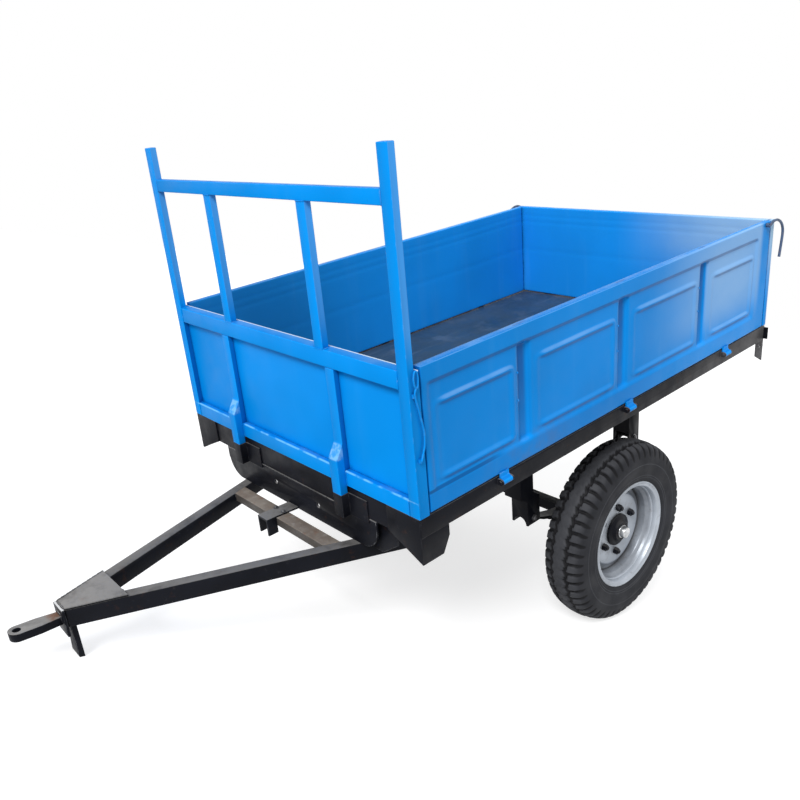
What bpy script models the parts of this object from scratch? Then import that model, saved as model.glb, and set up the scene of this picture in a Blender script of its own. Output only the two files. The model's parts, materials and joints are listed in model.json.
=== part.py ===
"""Two-wheeled farm trailer with drop sides, parked nose down on its short stand leg.

Everything is laid out in the bed's own frame: +X forward to the hitch, +Y left, +Z up,
with x = 0 at the headboard's front face and z = 0 at the foot of the boards.
One empty, "park", turns and lowers that frame so that the tyres and the leg meet the floor.
Run it with blender --background --python part.py, or from Blender's text editor. Metres.
"""

from math import asin, atan2, cos, degrees, hypot, pi, radians, sin, tan

import bmesh
import bpy

# ---- fits ---------------------------------------------------------------------------
SEAT_GAP = 0.0003          # between two pieces that are welded, bolted or stand on each other
RUN_GAP = 0.006            # between a moving piece and its neighbours
PIN_GAP = 0.0005           # round a pin, and beside a hinge eye

# ---- bed ----------------------------------------------------------------------------
BED_LENGTH = 2.170         # headboard's front face to tailgate's outer face
BED_WIDTH = 1.350          # over the side boards
BOARD_TOP = 0.476
BOARD_THICK = 0.030
BOARD_RAIL = 0.056         # height of the top rail above the pressed fields
BOARD_BAND = 0.070         # height of the bottom band below them
FRONT_STILE = 0.024
REAR_STILE = 0.100
TAIL_STILE = 0.050
FIELD_DEPTH = 0.006        # how deep a board's fields are pressed in
VALLEY_DEPTH = 0.016       # the valleys between fields are deeper
VALLEY_WIDTH = 0.060
VALLEY_FLOOR = 0.036
FIRST_VALLEY = 0.505       # side valleys, from the headboard's front face
VALLEY_PITCH = 0.5525
SIDE_VALLEYS = 3
TAIL_VALLEY = 0.215        # tailgate's valleys from its middle
BEAD_WIDTH = 0.028         # raised bead that rings each field
BEAD_CREST = 0.010
BEAD_SIDE = 0.026          # bead's middle from a field's ends
BEAD_UNDER_RAIL = 0.075
BEAD_OVER_BAND = 0.032
FLOOR_THICK = 0.003

# ---- hinges of the boards -----------------------------------------------------------
HINGE_OUT = 0.010          # pin's centre outside the board's face
HINGE_DROP = 0.018         # pin's centre below the foot of the boards
PIN_RADIUS = 0.006
PIN_END = 0.004            # pin's ends outside the lugs
EYE_RADIUS = 0.0105
EYE_LENGTH = 0.042
LUG_THICK = 0.006
LEAF_THICK = 0.005
LEAF_TOP = 0.012
HINGE_INSET = 0.330        # outer hinges from the ends of a board

# ---- latches ------------------------------------------------------------------------
HOOK_RADIUS = 0.006        # tailgate hook's rod
HOOK_OUT = 0.015           # its middle outside the board's face
LATCH_RADIUS = 0.0035      # front latch's rod
LATCH_OUT = 0.0085
LATCH_LUG = 0.012
RING_RADIUS = 0.003
RING_HALF = (0.009, 0.026)  # the latch's finger ring, half width and half height

# ---- bed frame ----------------------------------------------------------------------
FRAME_DEPTH = 0.065        # height of the bed frame's channels
FRAME_FLANGE = 0.036
CHANNEL_WALL = 0.005
FRAME_INSET = 0.003        # side rail's face inside the board's face
FRONT_DEPTH = 0.090        # height of the front member
BEARERS = 3
BRACKET_DROP = 0.160       # front corner brackets, below the foot of the boards
BRACKET_LENGTH = 0.122
BRACKET_REACH = 0.150      # front flange towards the centre line
BRACKET_THICK = 0.005
REAR_BRACKET_LENGTH = 0.065
REAR_BRACKET_DROP = 0.166

# ---- headboard ----------------------------------------------------------------------
POST_WIDTH = 0.044
POST_DEPTH = 0.026
POST_TOP = 1.085
TOP_RAIL_TOP = 0.970
TOP_RAIL_HEIGHT = 0.044
MID_RAIL_TOP = 0.469
MID_RAIL_HEIGHT = 0.058
FOOT_RAIL_HEIGHT = 0.057
PANEL_BACK = 0.043         # depth of the lower headboard
SHEET_THICK = 0.003
SHEET_BACK = 0.020         # pressed sheet's face behind the posts' front
BAR_Y = 0.272              # upper bars from the centre line
STAKE_Y = 0.313            # lower stakes from the centre line
STAKE_OUT = 0.031          # a stake's foot forward of the posts, past the foot rail
STAKE_BEND_TOP = 0.155     # its front steps forward between these two heights
STAKE_BEND_LOW = 0.104
STAKE_DROP = 0.025
POCKET_BOTTOM = 0.108
POCKET_WING = 0.090        # pocket's plate on its left side

# ---- front plate and drawbar --------------------------------------------------------
PLATE_HALF = 0.455
PLATE_TOP = 0.095
PLATE_BOTTOM = 0.212
PLATE_THICK = 0.008
PLATE_CORNER = 0.080
PLATE_HOLE = 0.009         # radius
BEAM_HEIGHT = 0.063
BEAM_WIDTH = 0.041
BEAM_RISE = radians(4.0)   # drawbar against the bed
BEAM_REAR_X = -0.250
NOSE_X = 0.893
NOSE_HALF = 0.031          # outer half width of the beams at the nose
BEAM_SPLAY = 0.3665        # sideways run for each metre along X
NOSE_PLATE_THICK = 0.010
NOSE_PLATE_HALF = 0.036
NOSE_PLATE_DROP = 0.029    # below the beams
GUSSET_LENGTH = 0.180
GUSSET_THICK = 0.005
CROSS_X = 0.064            # cross beam's centre
CROSS_WIDTH = 0.058
CROSS_HEIGHT = 0.034
SADDLE_Y = -0.025
SADDLE_WIDTH = 0.060
SADDLE_WALL = 0.008
SADDLE_FRONT = 0.135
SADDLE_DROP = 0.060
EYE_REACH = 0.127          # nose plate to the hitch eye's centre
TONGUE_DROP = 0.0245       # tongue's root below the drawbar's top
TONGUE_RISE = radians(7.1)
TONGUE_ROOT = 0.038        # width at the nose plate
TONGUE_WIDTH = 0.052       # width at the eye
TONGUE_THICK = 0.028
EYE_HOLE = 0.0125          # radius
LEG_X = 0.877
LEG_DEPTH = 0.018
LEG_LEFT = 0.025           # upright edge, left of the centre line
LEG_TOP_WIDTH = 0.034
LEG_FOOT_WIDTH = 0.063
LEG_BOTTOM = 0.335         # below the foot of the boards, at the leg's front

# ---- running gear -------------------------------------------------------------------
TYRE_RADIUS = 0.375
TYRE_WIDTH = 0.170
RIM_RADIUS = 0.2225
RIM_WIDTH = 0.150
RIM_WALL = 0.004
RIM_SEAT_DROP = 0.0195     # bead seat inside the rim's edge
RIM_WELL_DROP = 0.0375
WHEEL_Y = 0.614            # half track
AXLE_X = -1.104
AXLE_DROP = 0.573
AXLE_SIZE = 0.045
SPINDLE_RADIUS = 0.020
SPINDLE_REACH = 0.045      # spindle's end outward of the tyre's centre plane
DISC_Y = 0.005             # wheel disc's back face outward of that plane
DISC_THICK = 0.006
DISC_BORE = 0.032
HOLE_CIRCLE = 0.097
HOLE_RADIUS = 0.0115
HOLES = 6
HOLE_TURN = radians(35)    # first hole, from the bed's +X towards its +Z
HUB_REAR = -0.060          # hub's back end
HUB_BARREL = 0.048         # its radius there
HUB_DRUM = 0.115           # radius of the drum's face, behind the disc's holes
HUB_DRUM_THICK = 0.012
HUB_FLANGE = 0.067         # radius before the disc
HUB_FLANGE_THICK = 0.014
HUB_BODY = 0.044
HUB_BODY_LENGTH = 0.026    # from the disc
CAP_RADIUS = 0.024
CAP_LENGTH = 0.048         # from the disc
WHEEL_SIDES = 44
SPRING_Y = 0.430
SPRING_WIDTH = 0.050
SPRING_EYE_REACH = 0.321   # spring eyes fore and aft of the axle
SPRING_EYE_DROP = 0.430
SPRING_EYE_RADIUS = 0.018
LEAF_STEP = 0.007
LEAVES = 5
RAIL_DEPTH = 0.100         # chassis rails under the bed frame
RAIL_FLANGE = 0.045
RAIL_FACE_Y = 0.460
MOUNT_Y = 0.418            # plates from the chassis rails down to the drawbar
MOUNT_THICK = 0.012
MOUNT_LENGTH = 0.060
HANGER_Y = 0.4685          # hangers' outer face
HANGER_WIDTH = 0.077
HANGER_WALL = 0.008
HANGER_AHEAD = 0.077       # front hanger's root ahead of the spring eye
HANGER_ROOT_DROP = 0.105   # its root's lowest point above the eye
CHEEK_AHEAD = 0.038        # cheeks and their web, fore and aft of the eye
CHEEK_BEHIND = 0.036
CHEEK_FOOT = 0.025         # below the eye
CHEEK_HEAD = 0.080         # slot's top above the eye
REAR_CHEEK = 0.038         # rear hanger's half length
REAR_CHEEK_FOOT = 0.026    # below the shackle's bolt
BOLT_RADIUS = 0.008
BOLT_END = 0.007           # bolts' ends outside the cheeks
SHACKLE_LEAN = 0.045       # hanger's bolt behind the spring's rear eye
SHACKLE_RISE = 0.085
SHACKLE_HALF = 0.016
SHACKLE_THICK = 0.0045
U_BOLT = 0.010
CLAMP_EDGE = 0.012         # clamp plate past its U-bolts
CLAMP_THICK = 0.010

PAINTS = {                 # colour, roughness, metallic
    "blue_paint": ((0.02, 0.22, 0.70), 0.35, 0.0),
    "black_paint": ((0.02, 0.021, 0.024), 0.4, 0.0),
    "floor_steel": ((0.05, 0.09, 0.15), 0.5, 0.3),
    "bare_steel": ((0.22, 0.20, 0.18), 0.5, 0.8),
    "rim_silver": ((0.55, 0.57, 0.60), 0.35, 0.6),
    "tyre_rubber": ((0.03, 0.03, 0.031), 0.85, 0.0),
}

# ---- sizes that follow from those above ----------------------------------------------
HALF = BED_WIDTH / 2
FRAME_TOP = -SEAT_GAP
RAIL_FACE = HALF - FRAME_INSET
CHASSIS_TOP = FRAME_TOP - FRAME_DEPTH - SEAT_GAP
FRONT_FACE = -BRACKET_THICK - SEAT_GAP
WALL_FACE = FRONT_FACE + SEAT_GAP
EYE_X, EYE_Z = AXLE_X + SPRING_EYE_REACH, -SPRING_EYE_DROP
SEAT_RADIUS = RIM_RADIUS - RIM_SEAT_DROP
WELL_RADIUS = RIM_RADIUS - RIM_WELL_DROP
FRAME_REAR = -(BED_LENGTH - FRAME_INSET)
SIDES = ((1, "left"), (-1, "right"))


# ---- shapes -------------------------------------------------------------------------
def paint_for(name):
    """The named paint or metal, made once."""
    found = bpy.data.materials.get(name)
    if found:
        return found
    colour, roughness, metallic = PAINTS[name]
    made = bpy.data.materials.new(name)
    made.use_nodes = True
    shader = made.node_tree.nodes["Principled BSDF"]
    shader.inputs["Base Color"].default_value = (*colour, 1.0)
    shader.inputs["Roughness"].default_value = roughness
    shader.inputs["Metallic"].default_value = metallic
    return made


def add_object(name, bm, parent, paint, smooth=None):
    """One named object with its own copy of a paint; smooth is the angle in degrees."""
    bmesh.ops.recalc_face_normals(bm, faces=bm.faces)
    mesh = bpy.data.meshes.new(name)
    bm.to_mesh(mesh)
    bm.free()
    if smooth:
        mesh.shade_smooth()
        mesh.set_sharp_from_angle(angle=radians(smooth))
    part = bpy.data.objects.new(name, mesh)
    bpy.context.scene.collection.objects.link(part)
    mesh.materials.append(paint_for(paint))
    part.parent = parent
    return part


def empty(name, at, parent=None):
    """A joint's or a frame's origin."""
    made = bpy.data.objects.new(name, None)
    bpy.context.scene.collection.objects.link(made)
    made.location = at
    made.parent = parent
    return made


def loft(bm, near, far):
    """A closed solid between two rings that have as many points."""
    near = [bm.verts.new(point) for point in near]
    far = [bm.verts.new(point) for point in far]
    bm.faces.new(near)
    bm.faces.new(reversed(far))
    for i, here in enumerate(near):
        j = (i + 1) % len(near)
        bm.faces.new([near[j], here, far[i], far[j]])


def sweep(bm, outline, axis, low, high):
    """A closed outline pushed along an axis; its points hold the other two axes, in order."""
    place = "XYZ".index(axis)

    def ring(depth):
        return [(*pair[:place], depth, *pair[place:]) for pair in outline]

    loft(bm, ring(low), ring(high))


def add_rod(bm, path, y, radius, closed=False, sides=8):
    """A round bar along a path of (x, z) points in the plane at y."""
    rings = []
    for i, (x, z) in enumerate(path):
        before = path[i - 1] if closed or i else path[0]
        after = path[(i + 1) % len(path)] if closed or i + 1 < len(path) else path[-1]
        run = (after[0] - before[0], after[1] - before[1])
        across = (-run[1] / hypot(*run), run[0] / hypot(*run))
        turns = [2 * pi * k / sides for k in range(sides)]
        rings.append([bm.verts.new((x + radius * cos(t) * across[0], y + radius * sin(t),
                                    z + radius * cos(t) * across[1])) for t in turns])
    if not closed:
        bm.faces.new(rings[0])
        bm.faces.new(reversed(rings[-1]))
    for i in range(len(rings) if closed else len(rings) - 1):
        here, there = rings[i], rings[(i + 1) % len(rings)]
        for k in range(sides):
            j = (k + 1) % sides
            bm.faces.new([here[j], here[k], there[k], there[j]])


def rectangle(low, high):
    return [(low[0], low[1]), (high[0], low[1]), (high[0], high[1]), (low[0], high[1])]


def block(bm, low, high):
    sweep(bm, rectangle(low[:2], high[:2]), "Z", low[2], high[2])


def arc(centre, radius, start, end, count):
    """Points along an arc; angles in degrees."""
    turns = [radians(start + (end - start) * i / (count - 1)) for i in range(count)]
    return [(centre[0] + radius * cos(t), centre[1] + radius * sin(t)) for t in turns]


def circle(centre, radius, count=20):
    return arc(centre, radius, 0, 360 * (count - 1) / count, count)


def flip(outline, side):
    return [(side * a, b) for a, b in outline]


def channel(face, depth, flange, top):
    """A C section: its web's outer face at the first value `face`, opening to lower values."""
    wall = CHANNEL_WALL
    return [(face, top), (face, top - depth), (face - flange, top - depth),
            (face - flange, top - depth + wall), (face - wall, top - depth + wall),
            (face - wall, top - wall), (face - flange, top - wall), (face - flange, top)]


def prism(name, outline, axis, low, high, paint, parent):
    bm = bmesh.new()
    sweep(bm, outline, axis, min(low, high), max(low, high))
    return add_object(name, bm, parent, paint)


def box(name, low, high, paint, parent):
    bm = bmesh.new()
    block(bm, low, high)
    return add_object(name, bm, parent, paint)


def shape_with(part, kind, name, bm):
    """A hidden helper solid joined to the part, or cut from it, by an exact Boolean."""
    helper = add_object(f"{part.name}_{name}", bm, part.parent, part.active_material.name)
    helper.hide_render = True
    helper.display_type = "WIRE"
    step = part.modifiers.new(name, "BOOLEAN")
    step.operation = kind
    step.solver = "EXACT"
    step.object = helper


def turned(name, profile, count, paint, parent):
    """A closed profile of (radius, y) points turned round the local Y axis."""
    bm = bmesh.new()
    poles = {y: bm.verts.new((0, y, 0)) for r, y in profile if r == 0}
    rings = []
    for i in range(count):
        turn = 2 * pi * i / count
        rings.append([poles[y] if r == 0 else bm.verts.new((r * cos(turn), y, r * sin(turn)))
                      for r, y in profile])
    for i, here in enumerate(rings):
        there = rings[(i + 1) % count]
        for j in range(len(profile)):
            k = (j + 1) % len(profile)
            corners = list(dict.fromkeys([here[j], here[k], there[k], there[j]]))
            if len(corners) > 2:
                bm.faces.new(corners)
    return add_object(name, bm, parent, paint, smooth=35)


# ---- the parked stance --------------------------------------------------------------
def stance():
    """Pitch of the bed frame, and height of its origin, on tyres and leg."""
    across = LEG_X + LEG_DEPTH / 2 - AXLE_X
    rise = AXLE_DROP - LEG_BOTTOM
    pitch = atan2(rise, across) + asin(TYRE_RADIUS / hypot(across, rise))
    return pitch, TYRE_RADIUS + AXLE_X * sin(pitch) + AXLE_DROP * cos(pitch)


def floor_under(x):
    """Height of the floor in the bed frame at x."""
    return (x * sin(PITCH) - PARK_HEIGHT) / cos(PITCH)


def beam_top(x):
    """Height of the drawbar's top plane at x."""
    return -PLATE_BOTTOM - SEAT_GAP + x * tan(BEAM_RISE)


def beam_outer(x):
    return NOSE_HALF + BEAM_SPLAY * (NOSE_X - x)


def beam_inner(x):
    return beam_outer(x) - BEAM_WIDTH * hypot(1, BEAM_SPLAY)


# ---- floor and bed frame ------------------------------------------------------------
def bed_frame(park):
    tail_inner = -(BED_LENGTH - BOARD_THICK)
    floor_half = HALF - BOARD_THICK - RUN_GAP
    box("floor_plate", (tail_inner + RUN_GAP, -floor_half, 0),
        (-PANEL_BACK - SEAT_GAP, floor_half, FLOOR_THICK), "floor_steel", park)

    member_half = RAIL_FACE - FRAME_FLANGE - SEAT_GAP
    prism("front_member", channel(FRONT_FACE, FRONT_DEPTH, FRAME_FLANGE, FRAME_TOP),
          "Y", -member_half, member_half, "black_paint", park)
    rear = [(2 * FRAME_REAR - x, z)
            for x, z in channel(FRAME_REAR, FRAME_DEPTH, FRAME_FLANGE, FRAME_TOP)]
    prism("rear_member", rear, "Y", -member_half, member_half, "black_paint", park)
    span = FRONT_FACE - FRAME_REAR
    for i in range(BEARERS):
        face = FRONT_FACE - span * (i + 1) / (BEARERS + 1) + FRAME_FLANGE / 2
        prism(f"cross_bearer_{i + 1}", channel(face, FRAME_DEPTH, FRAME_FLANGE, FRAME_TOP),
              "Y", -member_half, member_half, "black_paint", park)


def sweep_placed(bm, outline, low, high, place):
    """An (out, up) outline pushed along a board's length, placed in the parent's frame."""
    loft(bm, [place(low, out, up) for out, up in outline],
         [place(high, out, up) for out, up in outline])


def add_lugs(rail, centres, place):
    """Pairs of lugs with their pins, joined to the rail or member that carries the hinges."""
    half = EYE_LENGTH / 2 + PIN_GAP
    root = -HINGE_OUT - FRAME_INSET - CHANNEL_WALL / 2
    lug = [(root, -EYE_RADIUS)] + arc((0, 0), EYE_RADIUS, -90, 90, 9) + [(root, EYE_RADIUS)]
    bm = bmesh.new()
    for centre in centres:
        for low in (-half - LUG_THICK, half):
            sweep_placed(bm, lug, centre + low, centre + low + LUG_THICK, place)
    shape_with(rail, "UNION", "lugs", bm)
    bm = bmesh.new()
    reach = half + LUG_THICK + PIN_END
    for centre in centres:
        sweep_placed(bm, circle((0, 0), PIN_RADIUS, 16), centre - reach, centre + reach, place)
    shape_with(rail, "UNION", "pins", bm)


# ---- boards -------------------------------------------------------------------------
def add_bead(bm, start, end, low, high, base, crest, place):
    """A raised bead that rings a field: along from start to end, up from low to high."""
    section = ((-BEAD_WIDTH / 2, base), (-BEAD_CREST / 2, crest), (BEAD_CREST / 2, crest),
               (BEAD_WIDTH / 2, base))
    middle, half = (start + end) / 2, (end - start) / 2
    level, rise = (low + high) / 2, (high - low) / 2
    corners = [[bm.verts.new(place(middle + a * (half + offset), out, level + u * (rise + offset)))
                for offset, out in section] for a, u in ((-1, -1), (1, -1), (1, 1), (-1, 1))]
    for i, here in enumerate(corners):
        there = corners[(i + 1) % 4]
        for k in range(4):
            j = (k + 1) % 4
            bm.faces.new([here[k], here[j], there[j], there[k]])


def board(name, ends, pressed, valleys, hinges, place, parent):
    """A drop board in its hinge's frame, with pressed fields, hinge leaves and eyes.

    ends and pressed are (low, high) along the board, valleys the middles of the deep
    grooves between fields, and place(along, out, up) gives the local point.
    """
    outer, foot, top = -HINGE_OUT, HINGE_DROP + RUN_GAP, HINGE_DROP + BOARD_TOP
    low, high = HINGE_DROP + BOARD_BAND, top - BOARD_RAIL
    field, deep = outer - FIELD_DEPTH, outer - VALLEY_DEPTH
    bm = bmesh.new()
    sweep_placed(bm, rectangle((outer - BOARD_THICK, foot), (outer, top)), *ends, place)
    part = add_object(name, bm, parent, "blue_paint")

    bm = bmesh.new()
    sweep_placed(bm, rectangle((field, low), (outer + FIELD_DEPTH, high)), *pressed, place)
    shape_with(part, "DIFFERENCE", "fields", bm)

    bm = bmesh.new()
    slope = (VALLEY_WIDTH - VALLEY_FLOOR) / 2 / (VALLEY_DEPTH - FIELD_DEPTH)
    mouth = VALLEY_FLOOR / 2 + slope * 2 * VALLEY_DEPTH
    plan = ((-VALLEY_FLOOR / 2, deep), (VALLEY_FLOOR / 2, deep),
            (mouth, deep + 2 * VALLEY_DEPTH), (-mouth, deep + 2 * VALLEY_DEPTH))
    for centre in valleys:
        loft(bm, [place(centre + along, out, low) for along, out in plan],
             [place(centre + along, out, high) for along, out in plan])
    shape_with(part, "DIFFERENCE", "valleys", bm)

    bm = bmesh.new()
    edges = [pressed[0]]
    for centre in sorted(valleys):
        edges += [centre - VALLEY_WIDTH / 2, centre + VALLEY_WIDTH / 2]
    edges.append(pressed[1])
    for start, end in zip(edges[::2], edges[1::2]):
        add_bead(bm, start + BEAD_SIDE, end - BEAD_SIDE, low + BEAD_OVER_BAND,
                 high - BEAD_UNDER_RAIL, field - FIELD_DEPTH / 2, outer - PIN_GAP, place)
    shape_with(part, "UNION", "beads", bm)

    bm = bmesh.new()
    leaf_face = LEAF_THICK - EYE_RADIUS
    leaf = ([(-EYE_RADIUS, HINGE_DROP + LEAF_TOP)] + arc((0, 0), EYE_RADIUS, 180, 450, 19)
            + [(leaf_face, EYE_RADIUS + LEAF_THICK), (leaf_face, HINGE_DROP + LEAF_TOP)])
    for centre in hinges:
        sweep_placed(bm, leaf, centre - EYE_LENGTH / 2, centre + EYE_LENGTH / 2, place)
    shape_with(part, "UNION", "leaves", bm)

    bm = bmesh.new()
    for centre in hinges:
        sweep_placed(bm, circle((0, 0), PIN_RADIUS + PIN_GAP, 16), centre - EYE_LENGTH,
                     centre + EYE_LENGTH, place)
    shape_with(part, "DIFFERENCE", "bores", bm)


def side_boards(park):
    """Drop sides on the side rails; along is the bed's x."""
    front = -PANEL_BACK - RUN_GAP
    rear = -(BED_LENGTH - BOARD_THICK - RUN_GAP)
    valleys = [-FIRST_VALLEY - i * VALLEY_PITCH for i in range(SIDE_VALLEYS)]
    hinges = (front - HINGE_INSET, (front + rear) / 2, rear + HINGE_INSET)
    for side, word in SIDES:
        axis_y = side * (HALF + HINGE_OUT)
        rail = prism(f"side_rail_{word}",
                     flip(channel(RAIL_FACE, FRAME_DEPTH, FRAME_FLANGE, FRAME_TOP), side),
                     "X", FRAME_REAR, FRONT_FACE, "black_paint", park)
        add_lugs(rail, hinges, lambda a, out, up, s=side, y=axis_y: (a, y + s * out, up - HINGE_DROP))
        hinge = empty(f"side_hinge_{word}", (0, axis_y, -HINGE_DROP), park)
        board(f"side_board_{word}", (rear, front), (rear + REAR_STILE, front - FRONT_STILE),
              valleys, hinges, lambda a, out, up, s=side: (a, s * out, up), hinge)
        tail_hook(word, side, hinge)


def tail_hook(word, side, hinge):
    """Cane-shaped hook at a side board's rear top corner, over the tailgate's end."""
    top = BOARD_TOP + HINGE_DROP
    pin = (-BED_LENGTH + 0.075, top - 0.012)
    bend = (-BED_LENGTH + 0.010, top - 0.061)
    path = ([pin, (pin[0] - 0.030, top + 0.001)]
            + [(x, z) for x, z in arc(bend, 0.061, 88, 186, 9)]
            + [(bend[0] - 0.046, bend[1] - 0.105)])
    y = side * (HOOK_OUT - HINGE_OUT)
    bm = bmesh.new()
    add_rod(bm, path, y, HOOK_RADIUS)
    part = add_object(f"tail_hook_{word}", bm, hinge, "blue_paint", smooth=40)
    bm = bmesh.new()
    boss = sorted((side * (SEAT_GAP - HINGE_OUT), y + side * HOOK_RADIUS))
    sweep(bm, circle(pin, 1.4 * HOOK_RADIUS, 12), "Y", *boss)
    shape_with(part, "UNION", "boss", bm)


def tailgate(park):
    """Drop tailgate across the rear; along is the bed's y."""
    half = HALF - SEAT_GAP
    reach = half - HINGE_INSET / 2
    hinges = (-reach, 0, reach)
    axis_x = -(BED_LENGTH + HINGE_OUT)
    add_lugs(bpy.data.objects["rear_member"], hinges,
             lambda a, out, up: (axis_x - out, a, up - HINGE_DROP))
    hinge = empty("tail_hinge", (axis_x, 0, -HINGE_DROP), park)
    board("tailgate", (-half, half), (-half + TAIL_STILE, half - TAIL_STILE),
          (-TAIL_VALLEY, TAIL_VALLEY), hinges, lambda a, out, up: (-out, a, up), hinge)


def corner_brackets(park):
    """Angle plates under the bed frame's corners."""
    top, low = CHASSIS_TOP, -BRACKET_DROP
    reach_y = RAIL_FACE - BRACKET_REACH
    flange = [(RAIL_FACE, FRAME_TOP), (RAIL_FACE, low), (reach_y, -FRONT_DEPTH),
              (reach_y, FRAME_TOP)]
    cheek = [(-BRACKET_THICK / 2, top), (-BRACKET_THICK / 2, low), (-0.75 * BRACKET_LENGTH, low),
             (-BRACKET_LENGTH, -0.65 * BRACKET_DROP), (-BRACKET_LENGTH, top)]
    rear = [(FRAME_REAR, top), (FRAME_REAR, -REAR_BRACKET_DROP),
            (FRAME_REAR + REAR_BRACKET_LENGTH, -0.77 * REAR_BRACKET_DROP),
            (FRAME_REAR + REAR_BRACKET_LENGTH, top)]
    for side, word in SIDES:
        part = prism(f"corner_bracket_front_{word}", flip(flange, side), "X", -BRACKET_THICK, 0,
                     "black_paint", park)
        bm = bmesh.new()
        near, far = side * (RAIL_FACE - BRACKET_THICK), side * RAIL_FACE
        sweep(bm, cheek, "Y", min(near, far), max(near, far))
        shape_with(part, "UNION", "cheek", bm)
        prism(f"corner_bracket_rear_{word}", rear, "Y", near, far, "black_paint", park)


# ---- headboard ----------------------------------------------------------------------
def headboard(park):
    inner = HALF - POST_WIDTH
    rail_half = inner - SEAT_GAP
    post = [(0, 0), (0, POST_TOP), (-POST_DEPTH, POST_TOP), (-POST_DEPTH, MID_RAIL_TOP),
            (-PANEL_BACK, MID_RAIL_TOP), (-PANEL_BACK, 0)]
    for side, word in SIDES:
        prism(f"headboard_post_{word}", post, "Y", side * inner, side * HALF, "blue_paint", park)

    rails = (              # name, depth, bottom, top
        ("top", POST_DEPTH, TOP_RAIL_TOP - TOP_RAIL_HEIGHT, TOP_RAIL_TOP),
        ("mid", PANEL_BACK, MID_RAIL_TOP - MID_RAIL_HEIGHT, MID_RAIL_TOP),
        ("foot", PANEL_BACK, 0, FOOT_RAIL_HEIGHT),
    )
    for word, depth, low, high in rails:
        box(f"headboard_{word}_rail", (-depth, -rail_half, low), (0, rail_half, high),
            "blue_paint", park)
    sheet_low = FOOT_RAIL_HEIGHT + SEAT_GAP
    sheet_top = MID_RAIL_TOP - MID_RAIL_HEIGHT - SEAT_GAP
    sheet_face = -SHEET_BACK
    box("headboard_panel", (sheet_face - SHEET_THICK, -rail_half, sheet_low),
        (sheet_face, rail_half, sheet_top), "blue_paint", park)

    bar_low, bar_top = MID_RAIL_TOP + SEAT_GAP, TOP_RAIL_TOP - TOP_RAIL_HEIGHT - SEAT_GAP
    for side, word in SIDES:
        middle = side * BAR_Y
        box(f"headboard_bar_{word}", (-POST_DEPTH, middle - POST_WIDTH / 2, bar_low),
            (0, middle + POST_WIDTH / 2, bar_top), "blue_paint", park)
        stake(word, side * STAKE_Y, sheet_face + SEAT_GAP, sheet_low, sheet_top, park)
        front_latch(word, side, park)


def stake(word, middle, back, low, top, park):
    """Lower stake, bent forward past the foot rail into its pocket on the front member."""
    near, far = middle - POST_WIDTH / 2, middle + POST_WIDTH / 2
    outline = [(back, low), (back, top), (0, top), (0, STAKE_BEND_TOP),
               (STAKE_OUT, STAKE_BEND_LOW), (STAKE_OUT, -STAKE_DROP), (SEAT_GAP, -STAKE_DROP),
               (SEAT_GAP, low)]
    prism(f"headboard_stake_{word}", outline, "Y", near, far, "blue_paint", park)

    plate = WALL_FACE + BRACKET_THICK
    pocket = [(WALL_FACE, near), (STAKE_OUT, near), (STAKE_OUT, far), (plate, far),
              (plate, far + POCKET_WING), (WALL_FACE, far + POCKET_WING)]
    prism(f"stake_pocket_{word}", pocket, "Z", -POCKET_BOTTOM, -STAKE_DROP - SEAT_GAP,
          "black_paint", park)


def front_latch(word, side, park):
    """Bowed latch rod with its finger ring, on a post's outer face."""
    y = side * (HALF + LATCH_OUT)
    ring = (-0.022, MID_RAIL_TOP - 0.022)
    rod = [(ring[0], ring[1] - RING_HALF[1] + RING_RADIUS), (-0.013, 0.400), (-0.026, 0.345),
           (-0.037, 0.285), (-0.037, 0.255), (-0.033, 0.232), (-0.019, 0.195)]
    loop = [(ring[0] + RING_HALF[0] * cos(2 * pi * i / 16), ring[1] + RING_HALF[1] * sin(2 * pi * i / 16))
            for i in range(16)]
    bm = bmesh.new()
    add_rod(bm, rod, y, LATCH_RADIUS)
    part = add_object(f"front_latch_{word}", bm, park, "blue_paint", smooth=40)
    bm = bmesh.new()
    add_rod(bm, loop, y, RING_RADIUS, closed=True)
    shape_with(part, "UNION", "ring", bm)
    bm = bmesh.new()
    span = sorted((side * (HALF + SEAT_GAP), y + side * LATCH_RADIUS / 2))
    for x, z in (rod[1], rod[-1]):
        block(bm, (x - LATCH_LUG / 2, span[0], z - LATCH_LUG / 2),
              (x + LATCH_LUG / 2, span[1], z + LATCH_LUG / 2))
    shape_with(part, "UNION", "lugs", bm)


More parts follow.
